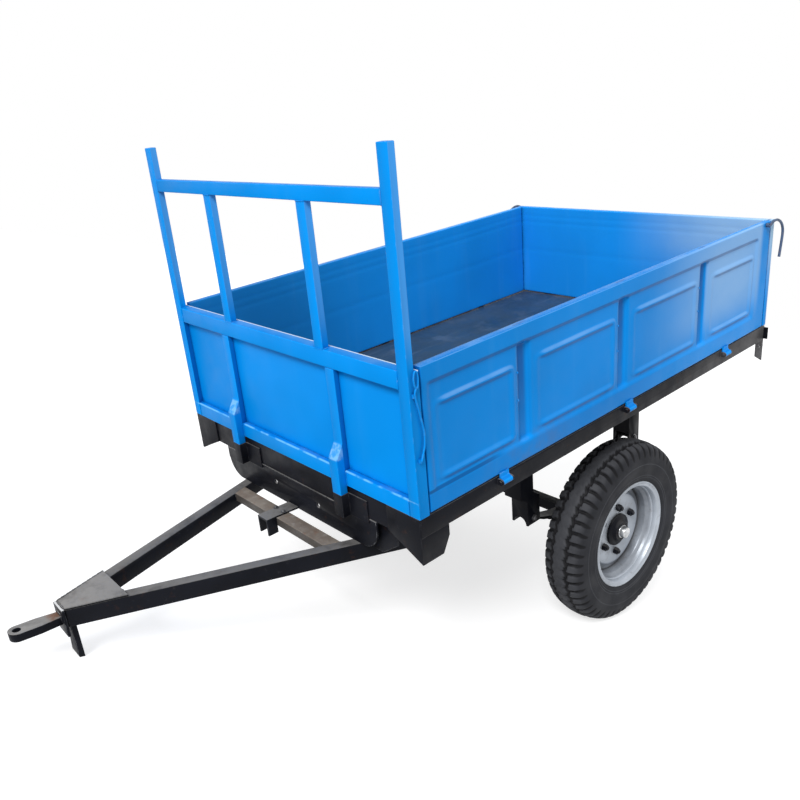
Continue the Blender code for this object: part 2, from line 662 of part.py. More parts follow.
# ---- chassis and drawbar ------------------------------------------------------------
def chassis(park):
    under = CHASSIS_TOP
    near, far = BEAM_REAR_X + SEAT_GAP, BEAM_REAR_X + MOUNT_LENGTH
    mount = [(near, beam_top(near) + SEAT_GAP), (far, beam_top(far) + SEAT_GAP),
             (far, under - RAIL_DEPTH + CHANNEL_WALL / 2),
             (near, under - RAIL_DEPTH + CHANNEL_WALL / 2)]
    for side, word in SIDES:
        section = channel(RAIL_FACE_Y, RAIL_DEPTH, RAIL_FLANGE, under)
        rail = prism(f"chassis_rail_{word}", flip(section, side), "X",
                     FRAME_REAR + FRAME_FLANGE / 2, FRONT_FACE - FRAME_FLANGE - SEAT_GAP,
                     "black_paint", park)
        bm = bmesh.new()
        sweep(bm, mount, "Y", *sorted((side * MOUNT_Y, side * (MOUNT_Y + MOUNT_THICK))))
        shape_with(rail, "UNION", "mount", bm)

    corner = PLATE_CORNER
    plate = ([(PLATE_HALF, -PLATE_TOP), (-PLATE_HALF, -PLATE_TOP)]
             + arc((-PLATE_HALF + corner, -PLATE_BOTTOM + corner), corner, 180, 270, 10)
             + arc((PLATE_HALF - corner, -PLATE_BOTTOM + corner), corner, 270, 360, 10))
    part = prism("front_plate", plate, "X", FRONT_FACE - PLATE_THICK, FRONT_FACE,
                 "black_paint", park)
    bm = bmesh.new()
    for y, z in ((-0.122, -0.142), (0.139, -0.149)):
        sweep(bm, circle((y, z), PLATE_HOLE, 16), "X", FRONT_FACE - 2 * PLATE_THICK,
              FRONT_FACE + PLATE_THICK)
    shape_with(part, "DIFFERENCE", "holes", bm)


def drawbar(park):
    """Two splayed beams that meet on the centre line, and what is welded to them."""
    meet_x = NOSE_X - (BEAM_WIDTH * hypot(1, BEAM_SPLAY) - NOSE_HALF + SEAT_GAP / 2) / BEAM_SPLAY
    plan = [(BEAM_REAR_X, beam_outer(BEAM_REAR_X)), (BEAM_REAR_X, beam_inner(BEAM_REAR_X)),
            (meet_x, SEAT_GAP / 2), (NOSE_X, SEAT_GAP / 2), (NOSE_X, beam_outer(NOSE_X))]
    for side, word in SIDES:
        sloped(f"drawbar_{word}", flip_y(plan, side), -BEAM_HEIGHT, 0, "black_paint", park)

    back = NOSE_X - GUSSET_LENGTH
    half_back, half_front = beam_outer(back), beam_outer(NOSE_X)
    sloped("nose_gusset", [(back, half_back), (back, -half_back), (NOSE_X, -half_front),
                           (NOSE_X, half_front)], SEAT_GAP, SEAT_GAP + GUSSET_THICK,
           "black_paint", park)
    plate_x = NOSE_X + SEAT_GAP
    plate_low = beam_top(NOSE_X) - BEAM_HEIGHT - NOSE_PLATE_DROP
    box("nose_plate", (plate_x, -NOSE_PLATE_HALF, plate_low),
        (plate_x + NOSE_PLATE_THICK, NOSE_PLATE_HALF, beam_top(NOSE_X) + GUSSET_THICK),
        "black_paint", park)

    near, far = CROSS_X - CROSS_WIDTH / 2, CROSS_X + CROSS_WIDTH / 2
    half_near, half_far = beam_inner(near) - SEAT_GAP, beam_inner(far) - SEAT_GAP
    sloped("cross_beam", [(near, half_near), (near, -half_near), (far, -half_far),
                          (far, half_far)], -CROSS_HEIGHT, 0, "bare_steel", park)
    saddle(park, far)
    hitch(park, plate_x + NOSE_PLATE_THICK + SEAT_GAP)
    leg(park)


def flip_y(plan, side):
    return [(x, side * y) for x, y in plan]


def sloped(name, plan, low, high, paint, park):
    """A plan outline between two heights measured from the drawbar's sloping top plane."""
    bm = bmesh.new()
    loft(bm, [(x, y, beam_top(x) + low) for x, y in plan],
         [(x, y, beam_top(x) + high) for x, y in plan])
    return add_object(name, bm, park, paint)


def saddle(park, cross_far):
    """Bracket over the cross beam, from the front plate to two hanging cheeks."""
    low_y, high_y = SADDLE_Y - SADDLE_WIDTH / 2, SADDLE_Y + SADDLE_WIDTH / 2
    rear = FRONT_FACE + SEAT_GAP
    seat = [beam_top(x) + SEAT_GAP for x in (rear, cross_far + SEAT_GAP)]
    outline = [(rear, seat[0]), (cross_far + SEAT_GAP, seat[1]),
               (cross_far + SEAT_GAP, seat[1] - SADDLE_DROP),
               (SADDLE_FRONT, seat[1] - SADDLE_DROP), (SADDLE_FRONT, seat[1] + SADDLE_WALL),
               (rear, seat[0] + SADDLE_WALL)]
    part = prism("cross_bracket", outline, "Y", low_y, high_y, "black_paint", park)
    bm = bmesh.new()
    block(bm, (cross_far - SADDLE_WALL, low_y + SADDLE_WALL, seat[1] - 2 * SADDLE_DROP),
          (SADDLE_FRONT + SADDLE_WALL, high_y - SADDLE_WALL, seat[1]))
    shape_with(part, "DIFFERENCE", "slot", bm)


def tongue_top(x):
    """Height of the tongue's sloping top at x."""
    return beam_top(NOSE_X) - TONGUE_DROP + (x - NOSE_X) * tan(TONGUE_RISE)


def hitch(park, root):
    """Flat tongue with the drawbar eye at its end."""
    eye = root + EYE_REACH
    half = TONGUE_WIDTH / 2
    shoulder = (root + eye) / 2
    plan = ([(shoulder, half), (root, TONGUE_ROOT / 2), (root, -TONGUE_ROOT / 2), (shoulder, -half)]
            + arc((eye, 0), half, -90, 90, 13))
    bm = bmesh.new()
    loft(bm, [(x, y, tongue_top(x) - TONGUE_THICK) for x, y in plan],
         [(x, y, tongue_top(x)) for x, y in plan])
    part = add_object("hitch_tongue", bm, park, "black_paint")
    bm = bmesh.new()
    level = tongue_top(eye)
    sweep(bm, circle((eye, 0), EYE_HOLE, 24), "Z", level - 2 * TONGUE_THICK, level + TONGUE_THICK)
    shape_with(part, "DIFFERENCE", "eye", bm)


def leg(park):
    """Stand leg that widens to a foot cut level with the floor."""
    near, far = LEG_X - LEG_DEPTH / 2, LEG_X + LEG_DEPTH / 2

    def ring(width, height):
        corners = ((near, LEG_LEFT), (near, LEG_LEFT - width), (far, LEG_LEFT - width),
                   (far, LEG_LEFT))
        return [(x, y, height(x)) for x, y in corners]

    bm = bmesh.new()
    loft(bm, ring(LEG_FOOT_WIDTH, floor_under),
         ring(LEG_TOP_WIDTH, lambda x: beam_top(x) - BEAM_HEIGHT - SEAT_GAP))
    add_object("stand_leg", bm, park, "black_paint")


# ---- running gear -------------------------------------------------------------------
def axle(park):
    """Square axle with a round spindle at each end."""
    half = AXLE_SIZE / 2
    inner = WHEEL_Y - TYRE_WIDTH / 2
    part = box("axle_beam", (AXLE_X - half, -inner, -AXLE_DROP - half),
               (AXLE_X + half, inner, -AXLE_DROP + half), "black_paint", park)
    bm = bmesh.new()
    reach = WHEEL_Y + SPINDLE_REACH
    sweep(bm, circle((AXLE_X, -AXLE_DROP), SPINDLE_RADIUS, 24), "Y", -reach, reach)
    shape_with(part, "UNION", "spindles", bm)


def springs(park):
    """Leaf packs over the axle, fixed at the front eye and on shackles at the rear."""
    pack_low = -AXLE_DROP + AXLE_SIZE / 2 + SEAT_GAP
    main_mid = pack_low + (LEAVES - 1) * LEAF_STEP
    rise = EYE_Z - SPRING_EYE_RADIUS / 2 - main_mid

    def curve(reach):
        return main_mid + rise * (reach / SPRING_EYE_REACH) ** 2

    ends = [SPRING_EYE_REACH * (1 - i / (LEAVES + 0.5)) for i in range(LEAVES)] + [0]
    top = [SPRING_EYE_REACH * (1 - i / 8) for i in range(17)]
    outline = [(AXLE_X + reach, curve(reach) + LEAF_STEP) for reach in top]
    below = []
    for i in range(LEAVES):
        below += [(end, curve(end) - i * LEAF_STEP) for end in ends[i:i + 2]]
    outline += [(AXLE_X - reach, z) for reach, z in below[:-1]]
    outline += [(AXLE_X + reach, z) for reach, z in below[-2::-1]]
    for side, word in SIDES:
        low, high = side * SPRING_Y - SPRING_WIDTH / 2, side * SPRING_Y + SPRING_WIDTH / 2
        part = prism(f"leaf_spring_{word}", outline, "Y", low, high, "black_paint", park)
        eyes = [(AXLE_X + end * SPRING_EYE_REACH, EYE_Z) for end in (1, -1)]
        bm = bmesh.new()
        for eye in eyes:
            sweep(bm, circle(eye, SPRING_EYE_RADIUS, 20), "Y", low + PIN_GAP, high - PIN_GAP)
        shape_with(part, "UNION", "eyes", bm)
        bm = bmesh.new()
        for eye in eyes:
            sweep(bm, circle(eye, BOLT_RADIUS + PIN_GAP, 16), "Y", low - PIN_GAP, high + PIN_GAP)
        shape_with(part, "DIFFERENCE", "bores", bm)


def bolted(name, outline, slot, bolt, outer, inner, park):
    """A cheeked hanger between two y faces, slotted for what hangs on its bolt."""
    low, high = min(outer, inner) + HANGER_WALL, max(outer, inner) - HANGER_WALL
    part = prism(name, outline, "Y", outer, inner, "black_paint", park)
    bm = bmesh.new()
    sweep(bm, slot, "Y", low, high)
    shape_with(part, "DIFFERENCE", "slot", bm)
    bm = bmesh.new()
    sweep(bm, circle(bolt, BOLT_RADIUS, 16), "Y", min(outer, inner) - BOLT_END,
          max(outer, inner) + BOLT_END)
    shape_with(part, "UNION", "bolt", bm)
    return part


def hangers(park):
    """Brackets under the chassis rails: the front spring eye's, and the rear shackle's."""
    top = CHASSIS_TOP - RAIL_DEPTH - SEAT_GAP
    root, cheek, back = EYE_X + HANGER_AHEAD, EYE_X + CHEEK_AHEAD, EYE_X - CHEEK_BEHIND
    foot, head = EYE_Z - CHEEK_FOOT, EYE_Z + CHEEK_HEAD
    front = [(root, top), (root, EYE_Z + HANGER_ROOT_DROP), (cheek, head + HANGER_WALL),
             (cheek, foot), (back, foot), (back, head + HANGER_WALL),
             (EYE_X, EYE_Z + HANGER_ROOT_DROP + HANGER_WALL), (EYE_X, top)]
    hung = (AXLE_X - SPRING_EYE_REACH - SHACKLE_LEAN, EYE_Z + SHACKLE_RISE)
    rear = [(hung[0] + REAR_CHEEK, top), (hung[0] + REAR_CHEEK, hung[1] - REAR_CHEEK_FOOT),
            (hung[0] - REAR_CHEEK, hung[1] - REAR_CHEEK_FOOT), (hung[0] - REAR_CHEEK, top)]
    for side, word in SIDES:
        outer, inner = side * HANGER_Y, side * (HANGER_Y - HANGER_WIDTH)
        slot = rectangle((back - HANGER_WALL, foot - HANGER_WALL), (cheek - HANGER_WALL, head))
        part = bolted(f"spring_hanger_front_{word}", front, slot, (EYE_X, EYE_Z), outer, inner,
                      park)
        bm = bmesh.new()
        arch = circle(((outer + inner) / 2, foot), HANGER_WIDTH / 2 - HANGER_WALL - PIN_GAP, 24)
        sweep(bm, arch, "X", cheek - 2 * HANGER_WALL, cheek + HANGER_WALL)
        shape_with(part, "DIFFERENCE", "arch", bm)
        slot = rectangle((hung[0] - REAR_CHEEK + HANGER_WALL, foot),
                         (hung[0] + 2 * REAR_CHEEK, hung[1] + REAR_CHEEK - HANGER_WALL))
        bolted(f"spring_hanger_rear_{word}", rear, slot, hung, outer, inner, park)


def shackles(park):
    """Pairs of links from each rear hanger's bolt to the spring's rear eye."""
    eye = (AXLE_X - SPRING_EYE_REACH, EYE_Z)
    hung = (eye[0] - SHACKLE_LEAN, eye[1] + SHACKLE_RISE)
    lean = degrees(atan2(SHACKLE_RISE, -SHACKLE_LEAN))
    link = (arc(hung, SHACKLE_HALF, lean - 90, lean + 90, 9)
            + arc(eye, SHACKLE_HALF, lean + 90, lean + 270, 9))
    near = SPRING_WIDTH / 2 + PIN_GAP
    for side, word in SIDES:
        y = side * SPRING_Y
        bm = bmesh.new()
        sweep(bm, link, "Y", y - near - SHACKLE_THICK, y - near)
        part = add_object(f"spring_shackle_{word}", bm, park, "black_paint")
        bm = bmesh.new()
        sweep(bm, link, "Y", y + near, y + near + SHACKLE_THICK)
        shape_with(part, "UNION", "link", bm)
        bm = bmesh.new()
        sweep(bm, circle(eye, BOLT_RADIUS, 16), "Y", y - near - SHACKLE_THICK / 2,
              y + near + SHACKLE_THICK / 2)
        shape_with(part, "UNION", "pin", bm)
        bm = bmesh.new()
        sweep(bm, circle(hung, BOLT_RADIUS + PIN_GAP, 16), "Y", y - SPRING_WIDTH,
              y + SPRING_WIDTH)
        shape_with(part, "DIFFERENCE", "bores", bm)


def clamps(park):
    """Plates and U-bolts that hold each spring on the axle."""
    half = AXLE_SIZE / 2
    low = -AXLE_DROP - half - SEAT_GAP
    top = -AXLE_DROP + half + LEAVES * LEAF_STEP + LEAF_STEP / 2
    rod = SPRING_WIDTH / 2 + PIN_GAP
    reach = half + SEAT_GAP
    for side, word in SIDES:
        y = side * SPRING_Y
        edge = U_BOLT + CLAMP_EDGE
        bm = bmesh.new()
        block(bm, (AXLE_X - reach - edge, y - rod - edge, low - CLAMP_THICK),
              (AXLE_X + reach + edge, y + rod + edge, low))
        part = add_object(f"spring_clamp_{word}", bm, park, "black_paint")
        foot = low - 2 * CLAMP_THICK
        arch = [(-rod - U_BOLT, foot), (-rod, foot), (-rod, top), (rod, top), (rod, foot),
                (rod + U_BOLT, foot), (rod + U_BOLT, top + U_BOLT), (-rod - U_BOLT, top + U_BOLT)]
        bm = bmesh.new()
        for x in (AXLE_X - reach - U_BOLT, AXLE_X + reach):
            sweep(bm, [(y + across, z) for across, z in arch], "X", x, x + U_BOLT)
        shape_with(part, "UNION", "u_bolts", bm)


def tyre_profile():
    """Closed outline of the tyre's section as (radius, y) from its inner to its outer bead."""
    half, rim = TYRE_WIDTH / 2, RIM_WIDTH / 2
    side = (               # share of the half width, radius
        (0.93, RIM_RADIUS + 0.018), (0.985, RIM_RADIUS + 0.040), (1.00, RIM_RADIUS + 0.068),
        (0.98, TYRE_RADIUS - 0.055), (0.90, TYRE_RADIUS - 0.032), (0.75, TYRE_RADIUS - 0.016),
        (0.50, TYRE_RADIUS - 0.006), (0.25, TYRE_RADIUS - 0.0015),
    )
    outer = [(radius, share * half) for share, radius in side]
    bead = [(SEAT_RADIUS - 0.0025 + SEAT_GAP, rim - 0.040), (SEAT_RADIUS + SEAT_GAP, rim - 0.011),
            (SEAT_RADIUS + 0.006, rim - 0.009), (RIM_RADIUS, rim - 0.0055),
            (RIM_RADIUS + 0.002, rim - 0.005)]
    right = bead + outer
    return right + [(TYRE_RADIUS, 0)] + [(r, -y) for r, y in reversed(right)]


def rim_profile():
    """Closed outline of the pressed rim and its disc, as (radius, y), y outward."""
    half, wall = RIM_WIDTH / 2, RIM_WALL
    seat, well = SEAT_RADIUS, WELL_RADIUS
    barrel = [(RIM_RADIUS, half), (RIM_RADIUS, half - wall), (seat + wall, half - 0.007),
              (seat, half - 2 * wall), (seat - 0.0025, half - 0.040), (well, half - 0.053)]
    outside = barrel + [(r, -y) for r, y in reversed(barrel)]
    lining = [(RIM_RADIUS - wall, half), (seat - 0.001, half - wall), (seat - wall, half - 3 * wall),
              (seat - 1.5 * wall, half - 0.038), (well - wall, half - 0.051)]
    back = [(r, -y) for r, y in lining]
    disc = [(well - wall, DISC_Y - 0.018), (well - 0.020, DISC_Y - 0.012), (well - 0.032, DISC_Y),
            (DISC_BORE, DISC_Y)]
    front = [(r, y + DISC_THICK) for r, y in reversed(disc)]
    return outside + back + disc + front + lining[::-1]


def hub_profile():
    """Closed outline of a hub as (radius, y): barrel, drum, neck through the disc and cap."""
    bore, neck = SPINDLE_RADIUS + PIN_GAP, DISC_BORE - SEAT_GAP
    back, face = DISC_Y - SEAT_GAP, DISC_Y + DISC_THICK + SEAT_GAP
    end = face + CAP_LENGTH
    return [(bore, HUB_REAR), (HUB_BARREL, HUB_REAR), (HUB_BARREL, back - HUB_DRUM_THICK),
            (HUB_DRUM, back - HUB_DRUM_THICK), (HUB_DRUM, back), (neck, back), (neck, face),
            (HUB_FLANGE, face), (HUB_FLANGE, face + HUB_FLANGE_THICK),
            (HUB_BODY, face + HUB_FLANGE_THICK), (HUB_BODY - 0.004, face + HUB_BODY_LENGTH),
            (CAP_RADIUS, face + HUB_BODY_LENGTH), (CAP_RADIUS, end - 0.004),
            (CAP_RADIUS - 0.004, end), (0, end), (0, SPINDLE_REACH + PIN_GAP),
            (bore, SPINDLE_REACH + PIN_GAP)]


def wheels(park):
    """Pressed steel wheels on hubs that turn on the axle's spindles."""
    turnings = (("tyre", tyre_profile(), "tyre_rubber"), ("rim", rim_profile(), "rim_silver"),
                ("hub", hub_profile(), "black_paint"))
    for side, word in SIDES:
        spin = empty(f"wheel_axis_{word}", (AXLE_X, side * WHEEL_Y, -AXLE_DROP), park)
        for kind, profile, paint in turnings:
            part = turned(f"{kind}_{word}", [(r, side * y) for r, y in profile], WHEEL_SIDES,
                          paint, spin)
            if kind == "rim":
                bm = bmesh.new()
                for i in range(HOLES):
                    turn = HOLE_TURN + 2 * pi * i / HOLES
                    at = (HOLE_CIRCLE * cos(turn), HOLE_CIRCLE * sin(turn))
                    sweep(bm, circle(at, HOLE_RADIUS, 16), "Y", side * DISC_Y - 2 * DISC_THICK,
                          side * DISC_Y + 2 * DISC_THICK)
                shape_with(part, "DIFFERENCE", "holes", bm)


def clear_scene():
    for old in list(bpy.data.objects):
        bpy.data.objects.remove(old, do_unlink=True)


def centre_over_origin(park):
    """The parked trailer's box is centred on x = 0."""
    bpy.context.view_layer.update()
    graph = bpy.context.evaluated_depsgraph_get()
    reach = []
    for part in bpy.data.objects:
        if part.type == "MESH" and not part.hide_render:
            solid = part.evaluated_get(graph)
            reach += [(solid.matrix_world @ v.co).x for v in solid.data.vertices]
    park.location.x -= (min(reach) + max(reach)) / 2


clear_scene()
PITCH, PARK_HEIGHT = stance()
park = empty("park", (0, 0, PARK_HEIGHT))
park.rotation_euler = (0, PITCH, 0)
bed_frame(park)
side_boards(park)
tailgate(park)
corner_brackets(park)
headboard(park)
chassis(park)
drawbar(park)
axle(park)
springs(park)
hangers(park)
shackles(park)
clamps(park)
wheels(park)
centre_over_origin(park)
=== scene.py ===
"""Looks of the two-wheeled farm trailer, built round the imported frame.

Shapes are worked out in the bed frame: x forward from the headboard's front face, y to the
left, z up from the boards' feet. BED carries them to the world.
"""
import json
from math import asin, cos, hypot, pi, radians, sin

import bmesh
import bpy
import numpy as np
from mathutils import Matrix, Vector

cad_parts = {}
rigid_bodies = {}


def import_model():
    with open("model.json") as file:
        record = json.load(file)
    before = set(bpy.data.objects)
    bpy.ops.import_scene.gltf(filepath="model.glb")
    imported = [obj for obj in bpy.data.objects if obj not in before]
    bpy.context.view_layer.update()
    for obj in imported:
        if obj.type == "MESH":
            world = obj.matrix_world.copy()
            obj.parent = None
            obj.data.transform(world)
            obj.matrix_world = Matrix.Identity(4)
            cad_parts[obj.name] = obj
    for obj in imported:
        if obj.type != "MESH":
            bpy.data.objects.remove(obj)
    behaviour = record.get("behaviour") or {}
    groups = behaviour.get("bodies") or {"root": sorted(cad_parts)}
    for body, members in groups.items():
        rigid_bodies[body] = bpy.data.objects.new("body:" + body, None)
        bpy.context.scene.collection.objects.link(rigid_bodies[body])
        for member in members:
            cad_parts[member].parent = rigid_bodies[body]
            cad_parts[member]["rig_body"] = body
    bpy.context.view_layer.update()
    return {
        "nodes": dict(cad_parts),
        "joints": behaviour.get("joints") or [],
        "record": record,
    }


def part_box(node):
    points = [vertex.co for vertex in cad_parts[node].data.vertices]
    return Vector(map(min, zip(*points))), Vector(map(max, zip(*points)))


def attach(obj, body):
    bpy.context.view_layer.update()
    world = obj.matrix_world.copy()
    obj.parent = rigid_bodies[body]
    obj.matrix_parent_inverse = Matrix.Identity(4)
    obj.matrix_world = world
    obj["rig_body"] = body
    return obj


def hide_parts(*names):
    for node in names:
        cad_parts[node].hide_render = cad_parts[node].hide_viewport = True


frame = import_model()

# ---- the bed frame ----
JOINTS = {joint["name"]: joint for joint in frame["joints"]}
MOUNTS = {mount["name"]: mount for mount in frame["record"]["mounts"]}
FORWARD = -Vector(JOINTS["side_board_left_hinge"]["axis"]).normalized()
LEFT = Vector((0, 1, 0))
TURN = Matrix((FORWARD, LEFT, FORWARD.cross(LEFT))).transposed()
LOAD_POINT = Vector((-1.0, 0.1, 0.003))  # the load_floor mount, in the bed frame
ORIGIN = Vector(MOUNTS["load_floor"]["pos_m"]) - TURN @ LOAD_POINT
BED = Matrix.Translation(ORIGIN) @ TURN.to_4x4()
PITCH = asin(-FORWARD.z)


def bed_box(node):
    """Lowest and highest corners of a CAD node in the bed frame."""
    inverse = BED.inverted()
    points = [inverse @ v.co for v in frame["nodes"][node].data.vertices]
    return (Vector([min(p[i] for p in points) for i in range(3)]),
            Vector([max(p[i] for p in points) for i in range(3)]))


SIDES = ((1, "left"), (-1, "right"))
HALF = bed_box("headboard_post_left")[1].y  # half the bed's width
MID_RAIL = bed_box("headboard_mid_rail")
FOOT_RAIL = bed_box("headboard_foot_rail")
NOSE_PLATE = bed_box("nose_plate")
AXLE = bed_box("axle_beam")
WHEEL_AT = BED.inverted() @ Vector(JOINTS["wheel_left_spin"]["pos_m"])

# The drop boards
BOARD_FRONT = bed_box("side_board_left")[1].x
BOARD_REAR = -2.134
BOARD_FOOT = 0.006
BOARD_TOP = bed_box("side_board_left")[1].z
BOARD_THICK = 0.03
GATE_FACE = -2.17  # x of the tailgate's outer face
GATE_HALF = bed_box("tailgate")[1].y
EDGE_ROUND = 0.004
FIELD_FOOT = 0.07  # the pressed fields' lower edge
FIELD_TOP = BOARD_TOP - 0.056
FIELD_DEPTH = 0.006
VALLEY_DEPTH = 0.016
VALLEY_HALF = 0.034
VALLEY_FIRST = -0.505
VALLEY_STEP = 0.5525
GATE_VALLEYS = (-0.215, 0.215)
BEAD_HALF = 0.014
BEAD_HEIGHT = 0.0056
HINGE_OUT = 0.01
HINGE_DROP = 0.018
EYE_RADIUS = 0.0105

# The wheels and springs
TREAD_PITCHES = 54
TREAD_DEPTH = 0.0105
TYRE_STEPS = TREAD_PITCHES * 7
RIM_RADIUS = 0.2225  # where the tyre meets the rim's flange
RIM_STEPS = 120
HOLE_CIRCLE = 0.097
HOLE_TURN = radians(35) - PITCH
NUT_HOLES = (1, 2, 4, 5)  # of the disc's six holes, those that hold a nut
AXLE_X = -1.104
SPRING_EYE_DROP = -0.43
SPRING_REACH = 0.321
LEAVES = 5
LEAF_THICK = 0.0062
LEAF_PITCH = 0.007

# The floor, the light and the camera
FLOOR_REACH = 40.0
WORLD_LIGHT = 0.62
KEY_LIGHT = 2.85
KEY_FROM = (0.76, 0.3, 0.57)
CAMERA_AT = Vector((1.3662, 2.1928, 1.2414))  # in the bed frame
CAMERA_VIEW = Vector((-0.54979, -0.74902, -0.36973))
CAMERA_UP = Vector((-0.31732, -0.22217, 0.92193))


# ---- shapes ----
def smooth(low, high, value):
    """0 at low, 1 at high, with a soft start and end; high may lie below low."""
    t = np.clip((value - low) / (high - low), 0, 1)
    return t * t * (3 - 2 * t)


def rounded_box(a, u, along, upward, radius):
    """Signed distance to a rectangle with round corners, below 0 inside it."""
    across, above = [abs(at - (low + high) / 2) - (high - low) / 2 + radius
                     for at, (low, high) in ((a, along), (u, upward))]
    corner = np.hypot(np.maximum(across, 0), np.maximum(above, 0))
    return corner + np.minimum(np.maximum(across, above), 0) - radius


def through(points, steps):
    """A smooth curve through points, as many steps between each two."""
    points = [np.array(p, float) for p in points]
    points = [2 * points[0] - points[1]] + points + [2 * points[-1] - points[-2]]
    curve = []
    for before, here, there, after in zip(points, points[1:], points[2:], points[3:]):
        for i in range(steps):
            t = i / steps
            curve.append(0.5 * (2 * here + (there - before) * t
                                + (2 * before - 5 * here + 4 * there - after) * t * t
                                + (3 * here - before - 3 * there + after) * t ** 3))
    curve.append(points[-2])
    return curve


def around(steps):
    """The angles of a full turn in equal steps."""
    return [2 * pi * i / steps for i in range(steps)]


def added(name, data):
    """A new object in the scene."""
    made = bpy.data.objects.new(name, data)
    bpy.context.scene.collection.objects.link(made)
    return made


class Shape:
    """Vertices and faces that become one piece."""

    def __init__(self):
        self.verts, self.faces = [], []

    def add(self, verts, faces):
        base = len(self.verts)
        self.verts += [tuple(v) for v in verts]
        self.faces += [tuple(base + i for i in face) for face in faces]

    def loft(self, rings, closed=False):
        """Skins rings of as many points; closed joins the last ring to the first."""
        count, width = len(rings), len(rings[0])
        faces = []
        for i in range(count if closed else count - 1):
            j = (i + 1) % count
            for k in range(width):
                m = (k + 1) % width
                faces.append((i * width + k, i * width + m, j * width + m, j * width + k))
        if not closed:
            faces.append(tuple(range(width))[::-1])
            faces.append(tuple(range((count - 1) * width, count * width)))
        self.add([p for ring in rings for p in ring], faces)

    def tube(self, path, radius, sides, closed=False):
        """A round bar along a path; radius is a number or one for each point."""
        path = [Vector(p) for p in path]
        count = len(path)
        radii = radius if isinstance(radius, list) else [radius] * count
        rings, across = [], None
        for i, at in enumerate(path):
            before = path[i - 1] if closed or i else at
            after = path[(i + 1) % count] if closed or i + 1 < count else at
            run = (after - before).normalized()
            across = run.orthogonal() if across is None else across - run * across.dot(run)
            across.normalize()
            up = run.cross(across)
            rings.append([at + radii[i] * (cos(t) * across + sin(t) * up) for t in around(sides)])
        self.loft(rings, closed)

    def turned(self, profile, at, axis, sides):
        """A (radius, height) profile from one end of the axis to the other, turned round it."""
        axis = Vector(axis).normalized()
        across = Vector((0, 0, 1)) if abs(axis.z) < 0.9 else Vector((1, 0, 0))
        across = (across - axis * across.dot(axis)).normalized()
        up = axis.cross(across)
        self.loft([[Vector(at) + axis * height + max(radius, 1e-5) * (cos(t) * across + sin(t) * up)
                    for t in around(sides)] for radius, height in profile])

    def disc(self, at, axis, radius, height, sides):
        self.turned([(0, 0), (radius, 0), (radius, height), (0, height)], at, axis, sides)

    def block(self, low, high):
        self.loft([[(low[0], low[1], z), (high[0], low[1], z), (high[0], high[1], z),
                    (low[0], high[1], z)] for z in (low[2], high[2])])

    def bolt(self, at, axis, size):
        """Hexagon head on its washer, with the thread's end over it."""
        head = ((0, 0.1), (1, 0.1), (1, 0.72), (0.86, 0.84), (0, 0.84))
        thread = ((0, 0.8), (0.5, 0.8), (0.5, 1.1), (0.4, 1.2), (0, 1.2))
        self.disc(at, axis, 1.35 * size, 0.14 * size, 24)
        for profile, sides in ((head, 6), (thread, 12)):
            self.turned([(r * size, h * size) for r, h in profile], at, axis, sides)

    def weld(self, start, end, radius):
        """A bead of weld with its ripples, half sunk along a seam."""
        start, end = Vector(start), Vector(end)
        count = max(3, int((end - start).length / 0.004))
        path = [start.lerp(end, i / count) for i in range(count + 1)]
        radii = [radius * (1 + 0.2 * sin(2.4 * i) + 0.12 * sin(5.1 * i + 1))
                 for i in range(count + 1)]
        radii[0] = radii[-1] = radius * 0.4
        self.tube(path, radii, 8)

    def mesh(self, name, matrix):
        """The mesh, moved by a matrix, its faces turned outwards."""
        mesh = bpy.data.meshes.new(name)
        mesh.from_pydata(self.verts, [], self.faces)
        mesh.transform(matrix)
        bm = bmesh.new()
        bm.from_mesh(mesh)
        bmesh.ops.recalc_face_normals(bm, faces=bm.faces)
        bm.to_mesh(mesh)
        bm.free()
        return mesh

    def piece(self, name, body, surface, slot, sharp=38, bevel=0.0, replaces=None):
        """The finished object on its body; what rides on a wheel is shaped in the world's frame."""
        mesh = self.mesh(name, Matrix() if body.startswith("wheel") else BED)
        return dressed(name, mesh, body, surface, sharp, bevel, replaces)


def dressed(name, mesh, body, surface, sharp, bevel, replaces):
    """An object from a mesh with its surface, edges and body."""
    piece = added(name, mesh)
    mesh.materials.clear()
    mesh.materials.append(surface)
    mesh.shade_smooth()
    if bevel:
        edges = piece.modifiers.new("edges", "BEVEL")
        edges.width, edges.segments, edges.limit_method = bevel, 2, "ANGLE"
        edges.angle_limit = radians(30)
        edges.harden_normals = True
    else:
        mesh.set_sharp_from_angle(angle=radians(sharp))
    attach(piece, body)
    if replaces:
        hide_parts(replaces)
    return piece


def softened(node, surface, bevel):
    """A CAD node's own shape with rounded edges, in its place."""
    source = frame["nodes"][node]
    mesh = source.data.copy()
    mesh.name = f"{node}_skin"
    bm = bmesh.new()
    bm.from_mesh(mesh)
    bmesh.ops.remove_doubles(bm, verts=bm.verts, dist=0.00002)
    bmesh.ops.dissolve_limit(bm, angle_limit=radians(1), verts=bm.verts, edges=bm.edges)
    bm.to_mesh(mesh)
    bm.free()
    dressed(f"{node}_skin", mesh, source["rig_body"], surface, 38, bevel, node)


# ---- surfaces ----
class Nodes:
    """A node tree and what builds it."""

    def __init__(self, tree):
        self.tree = tree

    def fill(self, node, values):
        """Links outputs to a node's sockets or sets them, each by its name or number."""
        for key, value in values.items():
            if isinstance(value, bpy.types.NodeSocket):
                self.tree.links.new(value, node.inputs[key])
            elif value is not None:
                node.inputs[key].default_value = value

    def node(self, kind, *ordered, **named):
        made = self.tree.nodes.new(f"ShaderNode{kind}")
        self.fill(made, dict(enumerate(ordered)) | named)
        return made

    def math(self, operation, a, b=None, clamp=False):
        made = self.node("Math", a, b)
        made.operation, made.use_clamp = operation, clamp
        return made.outputs[0]


